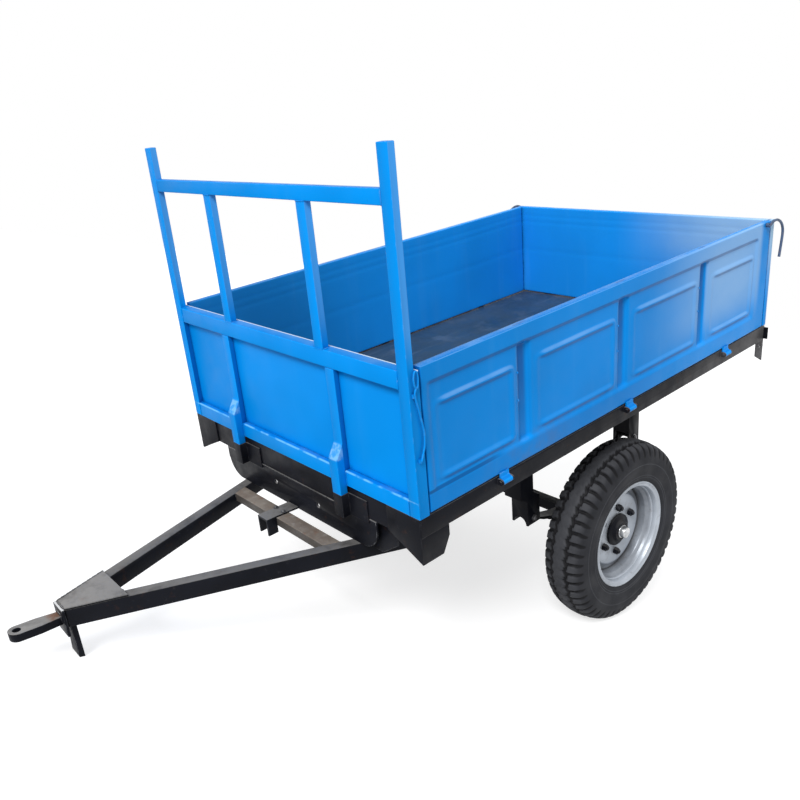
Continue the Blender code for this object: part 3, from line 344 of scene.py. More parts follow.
class Surface(Nodes):
    """A material's nodes. Its coordinates are the bed frame's, in metres."""

    def __init__(self, name, colour, roughness, metallic=0.0, specular=0.5):
        self.material = bpy.data.materials.new(name)
        self.material.use_nodes = True
        super().__init__(self.material.node_tree)
        self.shader = self.tree.nodes["Principled BSDF"]
        self.fill(self.shader, {"Roughness": roughness, "Metallic": metallic,
                                "Specular IOR Level": specular})
        coordinates = self.node("TexCoord")
        placed = self.node("Mapping", Vector=coordinates.outputs["Object"],
                           Rotation=(0, -PITCH, 0), Location=-(TURN.transposed() @ ORIGIN))
        self.at = placed.outputs[0]
        self.x, self.y, self.z = self.node("SeparateXYZ", self.at).outputs
        facing = self.node("SeparateXYZ", coordinates.outputs["Normal"])
        self.facing_left, self.facing_up = facing.outputs["Y"], facing.outputs["Z"]
        self.colour = colour
        self.normal = None

    def absolute(self, value):
        return self.math("ABSOLUTE", value)

    def either(self, a, b):
        return self.math("MAXIMUM", a, b)

    def times(self, *values):
        product = values[0]
        for value in values[1:]:
            product = self.math("MULTIPLY", product, value)
        return product

    def between(self, value, low, high, start=0.0, end=1.0):
        """value from low to high becomes start to end, softly, and holds outside."""
        made = self.node("MapRange", value, low, high, start, end)
        made.interpolation_type = "SMOOTHSTEP"
        return made.outputs["Result"]

    def band(self, value, rise, full, ebb, gone):
        """0 up to rise, 1 from full to ebb, and 0 again from gone."""
        return self.times(self.between(value, rise, full), self.between(value, gone, ebb))

    def noise(self, scale, detail, stretch=(1, 1, 1), rough=0.55, shift=0.0):
        offset = (shift, shift * 0.7, shift * 1.3)
        moved = self.node("VectorMath", self.at, stretch, offset)
        moved.operation = "MULTIPLY_ADD"
        return self.node("TexNoise", Vector=moved.outputs[0], Scale=scale,
                         Detail=detail, Roughness=rough).outputs["Fac"]

    def patches(self, scale, detail, low, high, start=0.0, end=1.0, **look):
        """Noise whose values from low to high become start to end."""
        return self.between(self.noise(scale, detail, **look), low, high, start, end)

    def edges(self, radius=0.004):
        """1 on convex and concave edges, 0 on the flat."""
        bent = self.node("Bevel", Radius=radius)
        bent.samples = 4
        flat = self.node("NewGeometry").outputs["Normal"]
        dot = self.node("VectorMath", bent.outputs[0], flat)
        dot.operation = "DOT_PRODUCT"
        return self.between(dot.outputs["Value"], 0.995, 0.9)

    def corners(self, distance):
        """1 deep in corners, 0 in the open."""
        made = self.node("AmbientOcclusion", Distance=distance)
        made.samples = 4
        return self.between(made.outputs["AO"], 0.85, 0.35)

    def from_axle(self):
        """Distance from the wheels' axis."""
        away = [self.math("SUBTRACT", axis, middle)
                for axis, middle in ((self.x, WHEEL_AT.x), (self.z, WHEEL_AT.z))]
        return self.math("SQRT", self.math("ADD", *(self.times(a, a) for a in away)))

    def cover(self, colour, *shares):
        """Lays a colour on what is there; the shares' product says how thickly."""
        made = self.node("Mix")
        made.data_type = "RGBA"
        below = (*self.colour, 1.0) if isinstance(self.colour, tuple) else self.colour
        self.fill(made, {0: self.times(*shares), 6: below, 7: (*colour, 1.0)})
        self.colour = made.outputs[2]

    def shade(self, share, *where):
        """Darkens the first colour to a share of itself in places."""
        self.cover(tuple(share * c for c in self.colour), *where)

    def bump(self, height, distance, strength):
        self.normal = self.node("Bump", Height=height, Distance=distance,
                                Strength=strength, Normal=self.normal).outputs["Normal"]

    def finish(self, roughness=None):
        self.fill(self.shader, {"Base Color": self.colour, "Roughness": roughness,
                                "Normal": self.normal})
        return self.material


BLUE = (0.0012, 0.295, 0.865)
FADED_AND_HIGHLIT_BLUE = (0.25, 0.49, 0.84)
DEEP_BLUE = (0.0008, 0.085, 0.34)
PALE_DUST_AND_SHEEN = (0.4, 0.62, 0.82)
GREY_DUST_AND_SHEEN = (0.36, 0.35, 0.34)
WHITE_DUST_AND_SHEEN = (0.62, 0.63, 0.64)
RUST = (0.17, 0.062, 0.022)


def board_fading_shade_and_highlights(s):
    """The drop boards' faded rear, dust and dirt, with painted shade in their valleys, on their
    tops and slopes and inside them, and painted highlights on their beads.
    """
    aside = s.absolute(s.y)
    outside = s.between(aside, HALF - 0.015, HALF - 0.0085)
    inside = s.between(aside, HALF - 0.018, HALF - 0.024)
    cloud = s.patches(3.4, 3, 0.25, 0.65, 0.7, stretch=(0.5, 1, 1), shift=4)
    s.cover(FADED_AND_HIGHLIT_BLUE, outside, s.band(s.x, -1.12, -1.8, -2.05, -2.085),
            s.between(s.z, 0.06, 0.24, 0.1), cloud, 0.95)
    gate_inside = s.between(s.x, GATE_FACE + 0.038, GATE_FACE + 0.032)
    s.cover(PALE_DUST_AND_SHEEN, gate_inside, s.between(s.y, -0.1, 0.62), s.between(s.z, 0.1, 0.42), cloud)

    # Painted shade: the forward wall of each valley is darkened where the key light's shadow falls
    # into it.
    past = s.math("ADD", s.x, 10 * VALLEY_STEP - VALLEY_FIRST - 0.04)
    valley_shadow = s.between(s.math("FRACT", s.math("MULTIPLY", past, 1 / VALLEY_STEP)), 0.88, 0.93)
    sunk = s.band(aside, HALF - 0.02, HALF - 0.017, HALF - 0.015, HALF - 0.009)
    s.cover(DEEP_BLUE, sunk, valley_shadow, s.between(s.z, 0.05, 0.4, 0.45), 0.85)
    # Painted highlight: the beads' upward-facing slopes are paled, high on the boards and towards
    # their rear.
    highlight_zone = s.either(s.between(s.z, 0.2, 0.3), s.between(s.x, -1.3, -1.75, 0.2))
    s.cover(FADED_AND_HIGHLIT_BLUE, s.band(s.facing_up, 0.08, 0.32, 0.5, 0.8), outside, highlight_zone,
            s.between(s.z, 0.085, 0.095), s.patches(6, 3, 0.3, 0.6, 0.45, shift=11), 0.5)
    # Painted shade on the outer skin's downward-facing slopes.
    s.cover(DEEP_BLUE, s.band(s.facing_up, -0.06, -0.3, -0.6, -0.85), outside, 0.5)

    # Painted shade: a dark line along the fields' lower edge, towards the front.
    field_foot_shade = s.band(s.z, FIELD_FOOT - 0.004, FIELD_FOOT, FIELD_FOOT + 0.006, FIELD_FOOT + 0.011)
    s.cover((0.004, 0.06, 0.2), field_foot_shade, outside, s.between(s.x, -0.42, -0.3), 0.75)
    s.cover((0.13, 0.17, 0.25), s.band(s.x, -0.25, -0.4, -0.6, -0.8), outside,
            s.between(s.z, 0.11, 0.07), s.patches(9, 5, 0.35, 0.65, shift=13), 0.35)
    s.cover((0.06, 0.31, 0.8), inside, 0.14)
    # Painted shade inside the boards, deepest low down and towards the front, where the headboard
    # shades them.
    s.cover((0.012, 0.125, 0.3), inside, s.between(s.x, -1.2, -0.1),
            s.between(s.z, 0.6, 0.05, 0.5), 0.8)
    s.cover(DEEP_BLUE, s.between(s.x, -1.5, -1.0), outside,
            s.between(s.z, 0.068, 0.078, 0.26, 0.11))
    # Painted shade on the boards' upward faces, strongest towards the front.
    s.cover(DEEP_BLUE, s.between(s.facing_up, 0.6, 0.85), s.between(s.x, -1.9, -0.9, 0.2), 0.4)


def headboard_shade_and_highlights(s):
    """Painted shade under the headboard's middle rail, beside its stakes and on its tops, a paler
    tone on its faces turned to the left, and painted highlights on its rails' edges and its stakes'
    bends.
    """
    under, over = MID_RAIL[0].z, MID_RAIL[1].z
    front, top = FOOT_RAIL[1].x, FOOT_RAIL[1].z
    # Painted shade under the middle rail, and on the stakes' sides just below it.
    back = s.times(s.band(s.z, under - 0.013, under - 0.006, under, under + 0.002),
                   s.band(s.x, -0.012, -0.017, -0.026, -0.03))
    flank = s.times(s.between(s.facing_left, 0.5, 0.9), s.between(s.z, under + 0.005, under),
                    s.between(s.absolute(s.y), HALF - 0.025, HALF - 0.035),
                    s.between(s.x, 0.004, 0.0))
    s.cover(DEEP_BLUE, s.either(back, flank), 0.62)
    # Painted shade on the headboard's upward faces.
    s.cover(DEEP_BLUE, s.between(s.facing_up, 0.6, 0.85), 0.4)
    # Paler on the faces turned to the left, above the middle rail.
    s.cover(PALE_DUST_AND_SHEEN, s.between(s.facing_left, 0.6, 0.9), s.between(s.z, over, 0.6), 0.15)
    # Painted highlight along the middle rail's top rear edge.
    s.cover((0.72, 0.84, 0.92), s.between(s.x, MID_RAIL[0].x + 0.009, MID_RAIL[0].x + 0.005),
            s.band(s.z, over - 0.0045, over - 0.002, over + 0.002, over + 0.004), 0.85)
    # Painted highlight along the foot rail's top front edge.
    s.cover((0.22, 0.6, 0.92), s.band(s.z, top - 0.0055, top - 0.0035, top, top + 0.001),
            s.band(s.x, front - 0.006, front - 0.003, front + 0.001, front + 0.002),
            s.patches(16, 3, 0.4, 0.55, shift=6), 0.6)
    # Painted highlight on the stakes' bends.
    s.cover((0.34, 0.62, 0.82), s.between(s.x, 0.001, 0.005),
            s.band(s.z, 0.098, 0.106, 0.154, 0.166), s.patches(55, 2, 0.4, 0.62, 0.25), 0.5)


def blue_paint(name, dust_and_sheen, specular=0.085, streaks=0.04, below=None, above=None):
    """Sprayed blue enamel; below and above are fading, dirt, painted shade and painted highlights
    laid on before and after its dust and painted sheen.
    """
    s = Surface(name, BLUE, 0.34, specular=specular)
    s.shade(0.86, s.patches(2.2, 2, 0.3, 0.7))
    s.cover((0.1, 0.4, 0.8), s.patches(5.0, 4, 0.5, 0.78, stretch=(3.0, 3.0, 0.35)), streaks)
    if below:
        below(s)
    # Pale cover on the upward faces: partly dust, partly a painted sheen of reflected sky.
    settled_dust_and_sheen = s.times(s.between(s.facing_up, 0.35, 0.9), s.patches(9, 5, 0.45, 0.75), dust_and_sheen)
    s.cover(PALE_DUST_AND_SHEEN, settled_dust_and_sheen)
    # Painted shade in the corners.
    s.cover(DEEP_BLUE, s.corners(0.024), s.patches(26, 4, 0.35, 0.65, 0.6), 0.75)
    if above:
        above(s)
    # Lighter edges: partly worn paint, partly a painted highlight.
    s.cover((0.3, 0.58, 0.86), s.edges(0.003), s.patches(60, 4, 0.52, 0.66), 0.55)
    cells = s.node("TexVoronoi", Vector=s.at, Scale=38).outputs["Distance"]
    s.cover((0.05, 0.09, 0.14), s.math("LESS_THAN", cells, 0.045),
            s.patches(4.5, 2, 0.6, 0.72, shift=9), 0.8)
    s.bump(s.noise(3.0, 1), 0.004, 0.35)
    s.bump(s.noise(260, 2), 0.0002, 0.35)
    return s.finish(s.math("ADD", s.patches(14, 4, 0.3, 0.7, 0.28, 0.42), s.times(settled_dust_and_sheen, 0.4)))


def black_paint(name, dust_and_sheen, edge_wear_and_highlight, rust=0.1, rear=0.0, powder_and_sheen=GREY_DUST_AND_SHEEN, root=None):
    """Satin chassis black, grey on top with dust and a painted sheen, and light along its edges
    with rubbed paint and a painted highlight.

    Its rust lies everywhere, or on the top from root to root + 0.045 along X.
    """
    s = Surface(name, (0.004, 0.0045, 0.007), 0.42, specular=0.075)
    s.cover((0.009, 0.01, 0.0145), s.patches(4.0, 4, 0.32, 0.68))
    if rear:
        s.cover((0.125, 0.122, 0.125), s.between(s.x, -1.35, -2.1),
                s.patches(7, 4, 0.3, 0.7, 0.5), rear)
    # Grey cover on the upward faces: partly dust, partly a painted sheen of reflected sky.
    settled_dust_and_sheen = s.times(s.between(s.facing_up, 0.2, 0.85),
                      s.patches(12, 5, 0.22, 0.58, 0.45, rough=0.65), dust_and_sheen)
    s.cover(powder_and_sheen, settled_dust_and_sheen)
    s.cover((0.06, 0.062, 0.068), s.patches(34, 5, 0.6, 0.74, rough=0.7, shift=3), 0.25)
    # Lighter edges: partly rubbed paint, partly a painted highlight.
    s.cover((0.17, 0.175, 0.19), s.edges(), s.patches(48, 4, 0.42, 0.6), edge_wear_and_highlight)
    if root is None:
        s.cover(RUST, s.patches(21, 5, 0.58, 0.7, rough=0.7, shift=7), rust)
    else:
        s.cover(RUST, s.patches(38, 4, 0.35, 0.58, shift=7), s.between(s.facing_up, 0.3, 0.8),
                s.between(s.x, root + 0.045, root + 0.02), rust)
    s.bump(s.noise(9, 3), 0.003, 0.25)
    s.bump(s.noise(220, 3), 0.0004, 0.4)
    return s.finish(s.math("ADD", s.patches(16, 4, 0.3, 0.7, 0.34, 0.52), s.times(settled_dust_and_sheen, 0.35),
                           clamp=True))


def floor_paint():
    """Dull blue-grey bed floor, scuffed lengthways, with painted shade in its corners."""
    s = Surface("floor_sheet", (0.019, 0.046, 0.084), 0.5, specular=0.28)
    s.cover((0.036, 0.07, 0.118), s.patches(2.6, 5, 0.3, 0.7, stretch=(0.6, 1.2, 1)))
    s.cover((0.13, 0.17, 0.22),
            s.patches(22, 5, 0.56, 0.74, stretch=(0.12, 1.6, 1), rough=0.7), 0.45)
    s.cover((0.085, 0.125, 0.185), s.patches(5.5, 5, 0.56, 0.7, shift=5), 0.5)
    # Painted shade in the corners.
    s.cover((0.012, 0.028, 0.055), s.corners(0.1), 0.7)
    s.bump(s.noise(2.4, 2), 0.006, 0.45)
    s.bump(s.noise(140, 4, stretch=(0.3, 1, 1)), 0.0004, 0.35)
    return s.finish(s.patches(9, 5, 0.3, 0.7, 0.36, 0.62))


def bare_steel():
    """Weathered mill steel, grey-brown, with painted shade on its downward faces."""
    s = Surface("mill_steel", (0.235, 0.205, 0.175), 0.55, metallic=0.15, specular=0.25)
    s.cover((0.15, 0.12, 0.098), s.patches(11, 5, 0.3, 0.7, rough=0.65))
    s.cover((0.33, 0.31, 0.28), s.patches(40, 4, 0.55, 0.7), 0.4)
    s.cover(RUST, s.patches(17, 5, 0.56, 0.7, shift=6), 0.45)
    # Painted shade on the downward faces.
    s.cover((0.045, 0.042, 0.04), s.between(s.facing_up, 0.5, -0.1), 0.8)
    s.bump(s.noise(90, 4), 0.0006, 0.5)
    return s.finish(s.patches(20, 4, 0.3, 0.7, 0.45, 0.7))


def rim_paint():
    """Silver wheel paint with a little brake and road dust, and painted shade in its well and
    corners.
    """
    s = Surface("rim_silver", (0.45, 0.49, 0.545), 0.42, metallic=0.35, specular=0.4)
    s.shade(0.8, s.patches(9, 4, 0.3, 0.7))
    # Painted shade in a ring round the disc's edge and the rim's well.
    s.cover((0.06, 0.065, 0.078), s.band(s.from_axle(), 0.15, 0.166, 0.1925, 0.1975),
            s.patches(13, 4, 0.3, 0.7, 0.65), 0.62)
    # Painted shade in the corners.
    s.cover((0.085, 0.08, 0.078), s.corners(0.025), 0.65)
    s.cover((0.13, 0.11, 0.095), s.patches(52, 5, 0.58, 0.68, rough=0.7), 0.35)
    s.bump(s.noise(150, 3), 0.0003, 0.35)
    return s.finish(s.patches(18, 4, 0.3, 0.7, 0.36, 0.5))


def rubber():
    """Tyre rubber, dusty where it has run on the ground, with raised rings on its wall, and painted
    shade in its grooves and corners.
    """
    s = Surface("tyre_rubber", (0.0125, 0.0135, 0.017), 0.78, specular=0.24)
    s.cover((0.024, 0.025, 0.03), s.patches(8, 4, 0.3, 0.7))
    reach = s.from_axle()
    s.cover((0.095, 0.098, 0.108), s.between(reach, 0.34, 0.368),
            s.patches(17, 5, 0.25, 0.65, 0.45, rough=0.65, shift=2), 0.36)
    rings = 0
    for radius in (0.24, 0.249, 0.295):
        off = s.absolute(s.math("SUBTRACT", reach, radius))
        rings = s.either(rings, s.between(off, 0.0032, 0.0008))
    s.cover((0.075, 0.08, 0.092), rings, 0.4)
    groove = s.node("Attribute")
    groove.attribute_name = "groove"
    # Painted shade in the tread's grooves.
    s.cover((0.002, 0.002, 0.003), s.between(groove.outputs["Fac"], 0.15, 0.75), 0.9)
    # Painted shade in the corners.
    s.cover((0.003, 0.003, 0.004), s.corners(0.022), 0.8)
    s.bump(rings, 0.0015, 0.8)
    s.bump(s.noise(130, 4), 0.0004, 0.6)
    return s.finish(s.patches(12, 4, 0.3, 0.7, 0.68, 0.86))


def plain_metal(name, base, roughness, metallic=0.85):
    """Plated or greased steel on small fittings."""
    s = Surface(name, base, roughness, metallic=metallic)
    s.shade(0.6, s.patches(45, 4, 0.35, 0.65))
    s.cover(RUST, s.patches(70, 4, 0.6, 0.7, shift=8), 0.4)
    s.bump(s.noise(240, 3), 0.0002, 0.4)
    return s.finish()


BOARD_BLUE = blue_paint("board_blue", 0.18, streaks=0.1, below=board_fading_shade_and_highlights)
FRONT_BLUE = blue_paint("headboard_blue", 0.16, specular=0.03, above=headboard_shade_and_highlights)
FITTING_BLUE = blue_paint("fitting_blue", 0.05, above=headboard_shade_and_highlights)
CHASSIS_BLACK = black_paint("chassis_black", 0.45, 0.5)
FRAME_BLACK = black_paint("frame_black", 0.25, 0.15, rear=0.75)
PLATE_BLACK = black_paint("plate_black", 0.6, 1.0)
DRAWBAR_BLACK = black_paint("drawbar_black", 0.42, 0.6, rust=0.08)
GUSSET_BLACK = black_paint("gusset_black", 0.66, 0.75, rust=0.12)
NOSE_BLACK = black_paint("nose_black", 1.0, 0.9, rust=0.05, powder_and_sheen=WHITE_DUST_AND_SHEEN)
TONGUE_BLACK = black_paint("tongue_black", 0.7, 0.9, rust=0.7, root=NOSE_PLATE[1].x)
HUB_BLACK = black_paint("hub_black", 0.1, 0.15, rust=0.05)
HOOK_BLUE = plain_metal("hook_blue", (0.075, 0.12, 0.215), 0.5, 0.2)
FLOOR_SHEET = floor_paint()
MILL_STEEL = bare_steel()
RIM_SILVER = rim_paint()
RUBBER = rubber()
BOLT_STEEL = plain_metal("bolt_steel", (0.2, 0.2, 0.21), 0.42)
CAP_STEEL = plain_metal("cap_steel", (0.62, 0.63, 0.64), 0.24)


# ---- boards ----
def grid_lines(low, high, step):
    """Even stops with close ones at both ends, for a rounded edge."""
    near = [0.0, 0.0006, 0.0016, 0.0028, EDGE_ROUND]
    count = max(2, int((high - low - 2 * EDGE_ROUND) / step))
    even = np.linspace(low + EDGE_ROUND, high - EDGE_ROUND, count + 1)[1:-1]
    return np.array([low + n for n in near] + list(even) + [high - n for n in near[::-1]])


def rounded_off(a, u, ends, feet):
    """How far the skin falls back where it nears the board's four edges."""
    inside = np.minimum.reduce([a - ends[0], ends[1] - a, u - feet[0], feet[1] - u])
    lack = np.clip(EDGE_ROUND - inside, 0, EDGE_ROUND)
    return EDGE_ROUND - np.sqrt(np.maximum(EDGE_ROUND ** 2 - lack ** 2, 0))


def pressing(a, u, pressed, valleys, steep):
    """Relief of a board's outer skin, at most 0: fields, valleys, and a bead in each field."""
    field = rounded_box(a, u, pressed, (FIELD_FOOT, FIELD_TOP), 0.01)
    depth = FIELD_DEPTH * smooth(0.001, -0.009, field)
    for centre in valleys:
        ahead = smooth(centre + VALLEY_HALF, centre + VALLEY_HALF - steep, a)
        behind = smooth(centre - 0.036, centre - 0.014, a)
        upright = (smooth(FIELD_FOOT - 0.002, FIELD_FOOT + 0.014, u)
                   * smooth(FIELD_TOP + 0.002, FIELD_TOP - 0.014, u))
        depth = np.maximum(depth, VALLEY_DEPTH * ahead * behind * upright)
    edges = sorted([*pressed] + [c + d for c in valleys for d in (-VALLEY_HALF, VALLEY_HALF)])
    for start, end in zip(edges[::2], edges[1::2]):
        ring = rounded_box(a, u, (start + 0.026, end - 0.026),
                           (FIELD_FOOT + 0.032, FIELD_TOP - 0.075), 0.014)
        offset, reach = a - (start + end) / 2, (end - start) / 2 - 0.04
        fade = (1 - 0.62 * smooth(reach - 0.03, reach, offset)
                - 0.25 * smooth(reach - 0.03, reach, -offset))
        depth -= BEAD_HEIGHT * fade * smooth(BEAD_HALF, 0.002, abs(ring))
    ripple = 0.0005 * (np.sin(7 * a + 1.3) * np.sin(13 * u + 0.4) + 0.5 * np.sin(19 * a - 11 * u))
    return -depth - 0.0008 + ripple


def lining(a, u):
    """Relief of a board's inner skin: three long shallow creases."""
    relief = 0 * a
    for level, depth, width in ((0.245, 0.0006, 0.024), (0.398, 0.0007, 0.014),
                                (0.432, 0.0006, 0.012)):
        relief += depth * smooth(width, 0.0, abs(u - level - 0.002 * np.sin(5 * a)))
    return relief + 0.0006 * np.sin(6.0 * a + 0.5) * np.sin(15.0 * u)


def board(node, place, ends, pressed, valleys, steep):
    """A hollow-pressed drop board; place(along, out, up) gives the bed frame's point."""
    feet = (BOARD_FOOT, BOARD_TOP)
    a, u = np.meshgrid(grid_lines(*ends, 0.0085), grid_lines(*feet, 0.0065), indexing="ij")
    fall = rounded_off(a, u, ends, feet)
    outer = pressing(a, u, pressed, valleys, steep) - fall
    inner = -BOARD_THICK + lining(a, u) + fall
    skins = [place(*at) for out in (outer, inner)
             for at in zip(a.ravel(), out.ravel(), u.ravel())]
    rows, columns = a.shape
    other = rows * columns
    faces = []
    for i in range(rows - 1):
        for j in range(columns - 1):
            here, there = i * columns + j, (i + 1) * columns + j
            faces.append((here, here + 1, there + 1, there))
            faces.append((other + here, other + there, other + there + 1, other + here + 1))
    rim = ([i * columns for i in range(rows)]
           + [(rows - 1) * columns + j for j in range(1, columns)]
           + [i * columns + columns - 1 for i in range(rows - 2, -1, -1)]
           + list(range(columns - 2, 0, -1)))
    for here, there in zip(rim, rim[1:] + rim[:1]):
        faces.append((here, there, other + there, other + here))
    skin = Shape()
    skin.add(skins, faces)
    skin.piece(f"{node}_skin", node, BOARD_BLUE, "blue_paint", sharp=60, replaces=node)


def hinge_leaves(node, place, centres):
    """Leaves welded on a board's foot, each rolled round its pin."""
    thick, half = 0.005, 0.021
    top = HINGE_DROP + 0.012
    turns = [radians(180 + 15 * i) for i in range(19)]
    outline = ([(-EYE_RADIUS, top)] + [(EYE_RADIUS * cos(t), EYE_RADIUS * sin(t)) for t in turns]
               + [(thick - EYE_RADIUS, EYE_RADIUS + thick), (thick - EYE_RADIUS, top)])
    leaves = Shape()
    for centre in centres:
        leaves.loft([[place(centre + side * half, HINGE_OUT + out, up - HINGE_DROP)
                      for out, up in outline] for side in (-1, 1)])
    leaves.piece(f"{node}_leaves", node, FITTING_BLUE, "blue_paint")


def boards():
    """The side boards with their small raised spots, and the tailgate."""
    side_valleys = [VALLEY_FIRST - VALLEY_STEP * i for i in range(3)]
    hinges = (BOARD_FRONT - 0.33, (BOARD_FRONT + BOARD_REAR) / 2, BOARD_REAR + 0.33)
    spot = [(0, 0), (0.0042, 0.0004), (0.0036, 0.0022), (0.0016, 0.0032), (0, 0.0033)]
    for side, word in SIDES:
        def place(along, out, up, s=side):
            return (along, s * (HALF + out), up)
        node = f"side_board_{word}"
        board(node, place, (BOARD_REAR, BOARD_FRONT), (BOARD_REAR + 0.1, BOARD_FRONT - 0.024),
              side_valleys, 0.006)
        hinge_leaves(node, place, hinges)
        spots = Shape()
        for centre in side_valleys:
            for level in (0.225, 0.32):
                at = place(centre + VALLEY_HALF, -0.0075, level)
                spots.turned(spot, at, (-0.35, side, 0), 12)
        spots.piece(f"{node}_spots", node, FITTING_BLUE, "blue_paint")

    def behind(along, out, up):
        return (GATE_FACE - out, along, up)
    board("tailgate", behind, (-GATE_HALF, GATE_HALF), (0.05 - GATE_HALF, GATE_HALF - 0.05),
          GATE_VALLEYS, 0.018)
    reach = GATE_HALF - 0.165
    hinge_leaves("tailgate", behind, (-reach, 0, reach))


# ---- latches ----
def tail_hook(side, word):
    """Cane-shaped hook on a side board, round bar bent by hand."""
    # Each point's x, and how far it lies below the board's top
    path = ((-2.086, 0.016), (-2.104, 0.009), (-2.128, 0.0), (-2.16, 0.001), (-2.192, 0.016),
            (-2.213, 0.04), (-2.22, 0.07), (-2.214, 0.12), (-2.206, 0.17))
    pin_x, pin_z = -2.095, BOARD_TOP - 0.012
    axis = (0, side, 0)
    hook = Shape()
    hook.tube(through([(x, side * (HALF + 0.0145), BOARD_TOP - down) for x, down in path], 6),
              0.0055, 14)
    hook.disc((pin_x, side * (HALF + 0.0005), pin_z), axis, 0.0085, 0.012, 20)
    hook.bolt((pin_x, side * (HALF + 0.0135), pin_z), axis, 0.0055)
    hook.piece(f"tail_hook_{word}_bar", f"side_board_{word}", HOOK_BLUE, "blue_paint",
               replaces=f"tail_hook_{word}")


def front_latch(side, word):
    """Bowed rod with its finger ring between two small lugs on a post."""
    y = side * (HALF + 0.0085)
    rail_top = MID_RAIL[1].z
    lugs = ((-0.014, 0.4), (-0.019, 0.195))
    bow = ((-0.026, 0.345), (-0.037, 0.285), (-0.037, 0.255), (-0.033, 0.232))
    path = ((-0.02, rail_top - 0.045), lugs[0], *bow, lugs[1])
    latch = Shape()
    latch.tube(through([(x, y, z) for x, z in path], 6), 0.0033, 12)
    latch.tube([(-0.022 + 0.0085 * cos(t), y, rail_top - 0.022 + 0.0255 * sin(t))
                for t in around(28)], 0.003, 10, closed=True)
    for x, z in lugs:
        near, far = sorted((side * (HALF + 0.0004), y))
        latch.loft([[(x - 0.006, e, z - 0.006), (x + 0.006, e, z - 0.006),
                     (x + 0.006, e, z + 0.006), (x - 0.006, e, z + 0.006)] for e in (near, far)])
    latch.piece(f"front_latch_{word}_rod", "chassis", FITTING_BLUE, "blue_paint",
                replaces=f"front_latch_{word}")


# ---- wheels ----
def tyre_skin(centre, side, word):
    """Tyre with a block tread that runs over its shoulders."""
    low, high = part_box(f"tyre_{word}")
    half, radius = (high.y - low.y) / 2, (high.z - low.z) / 2
    side_points = ((0.86, RIM_RADIUS + 0.002), (0.93, RIM_RADIUS + 0.012),
                   (0.975, RIM_RADIUS + 0.03), (0.995, RIM_RADIUS + 0.062),
                   (0.97, radius - 0.058), (0.91, radius - 0.034), (0.77, radius - 0.0155),
                   (0.5, radius - 0.0055), (0.25, radius - 0.0012), (0.0, radius))
    flank = [(share * half, r) for share, r in side_points]
    section = through(flank + [(-y, r) for y, r in flank[-2::-1]], 4)
    bead = [(-0.064, 0.204), (-0.03, 0.203), (0.03, 0.203), (0.064, 0.204)]
    y, r = np.array(section + bead).T
    turn, across = np.meshgrid(around(TYRE_STEPS), y, indexing="ij")
    height = np.broadcast_to(r, turn.shape).copy()

    # Tread: a zigzag groove each side of the centre rib, shoulder slots, and sipes in the rib
    phase = turn * TREAD_PITCHES / (2 * pi)
    share = np.abs(across) / half
    lean = 0.25 * np.sign(across)
    wave = np.abs(((phase + lean) % 1.0) - 0.5) * 2
    groove = smooth(0.09, 0.05, np.abs(share - 0.3 - 0.11 * wave))
    slot = np.abs(((phase + lean + 0.3 * share) % 1.0) - 0.5)
    shoulder = smooth(0.2, 0.11, slot) * smooth(0.4, 0.46, share)
    cut = np.abs(((phase + 2.0 * share) % 1.0) - 0.5)
    sipe = smooth(0.1, 0.05, cut) * smooth(0.26, 0.2, share)
    run_down = smooth(radius - 0.062, radius - 0.03, height)
    tread = np.maximum(np.maximum(groove, shoulder), 0.22 * sipe) * run_down
    height -= TREAD_DEPTH * tread
    wall = (smooth(radius - 0.055, radius - 0.085, height)
            * smooth(RIM_RADIUS + 0.006, RIM_RADIUS + 0.02, height))
    across = across - np.sign(across) * 0.0007 * wall * (1 + np.sin(height * 900))
    points = np.stack([centre.x + height * np.cos(turn), centre.y + side * across,
                       centre.z + height * np.sin(turn)], axis=-1)
    tyre = Shape()
    tyre.loft(points, closed=True)
    skin = tyre.piece(f"tyre_{word}_skin", f"wheel_{word}", RUBBER, "tyre_rubber", 50,
                      replaces=f"tyre_{word}")
    skin.data.attributes.new("groove", "FLOAT", "POINT").data.foreach_set("value", tread.ravel())


def on_wheel(centre, radius, turn, y):
    """A point at a radius, a turn and a height along the wheel's axis."""
    return centre + Vector((radius * cos(turn), y, radius * sin(turn)))


def wheel_ring(profile, centre, side):
    """A closed (radius, y) profile turned round the wheel's axis."""
    ring = Shape()
    ring.loft([[(centre.x + r * cos(t), centre.y + side * y, centre.z + r * sin(t))
                for r, y in profile] for t in around(RIM_STEPS)], closed=True)
    return ring


def rim_barrel(centre, side, word):
    """Pressed rim with rolled flanges."""
    lip = [(0.222 - 0.0035 + 0.0035 * cos(radians(t)), 0.0715 + 0.0035 * sin(radians(t)))
           for t in range(-80, 200, 40)]
    outside = lip[:1] + [(0.211, 0.0655), (0.2042, 0.066), (0.2028, 0.063), (0.2005, 0.04),
                         (0.1965, 0.0335), (0.1868, 0.0265), (0.185, 0.022)]
    inside = [(0.181, 0.024), (0.1828, 0.029), (0.1915, 0.0355), (0.1938, 0.04),
              (0.195, 0.047), (0.1984, 0.05), (0.1992, 0.063), (0.203, 0.0692),
              (0.213, 0.0705)]
    back = [(r, -y) for r, y in outside[::-1] + lip[1:] + inside[::-1]]
    barrel = wheel_ring(outside + back + inside + lip[:0:-1], centre, side)
    barrel.piece(f"rim_{word}_barrel", f"wheel_{word}", RIM_SILVER, "rim_silver", 45,
                 replaces=f"rim_{word}")


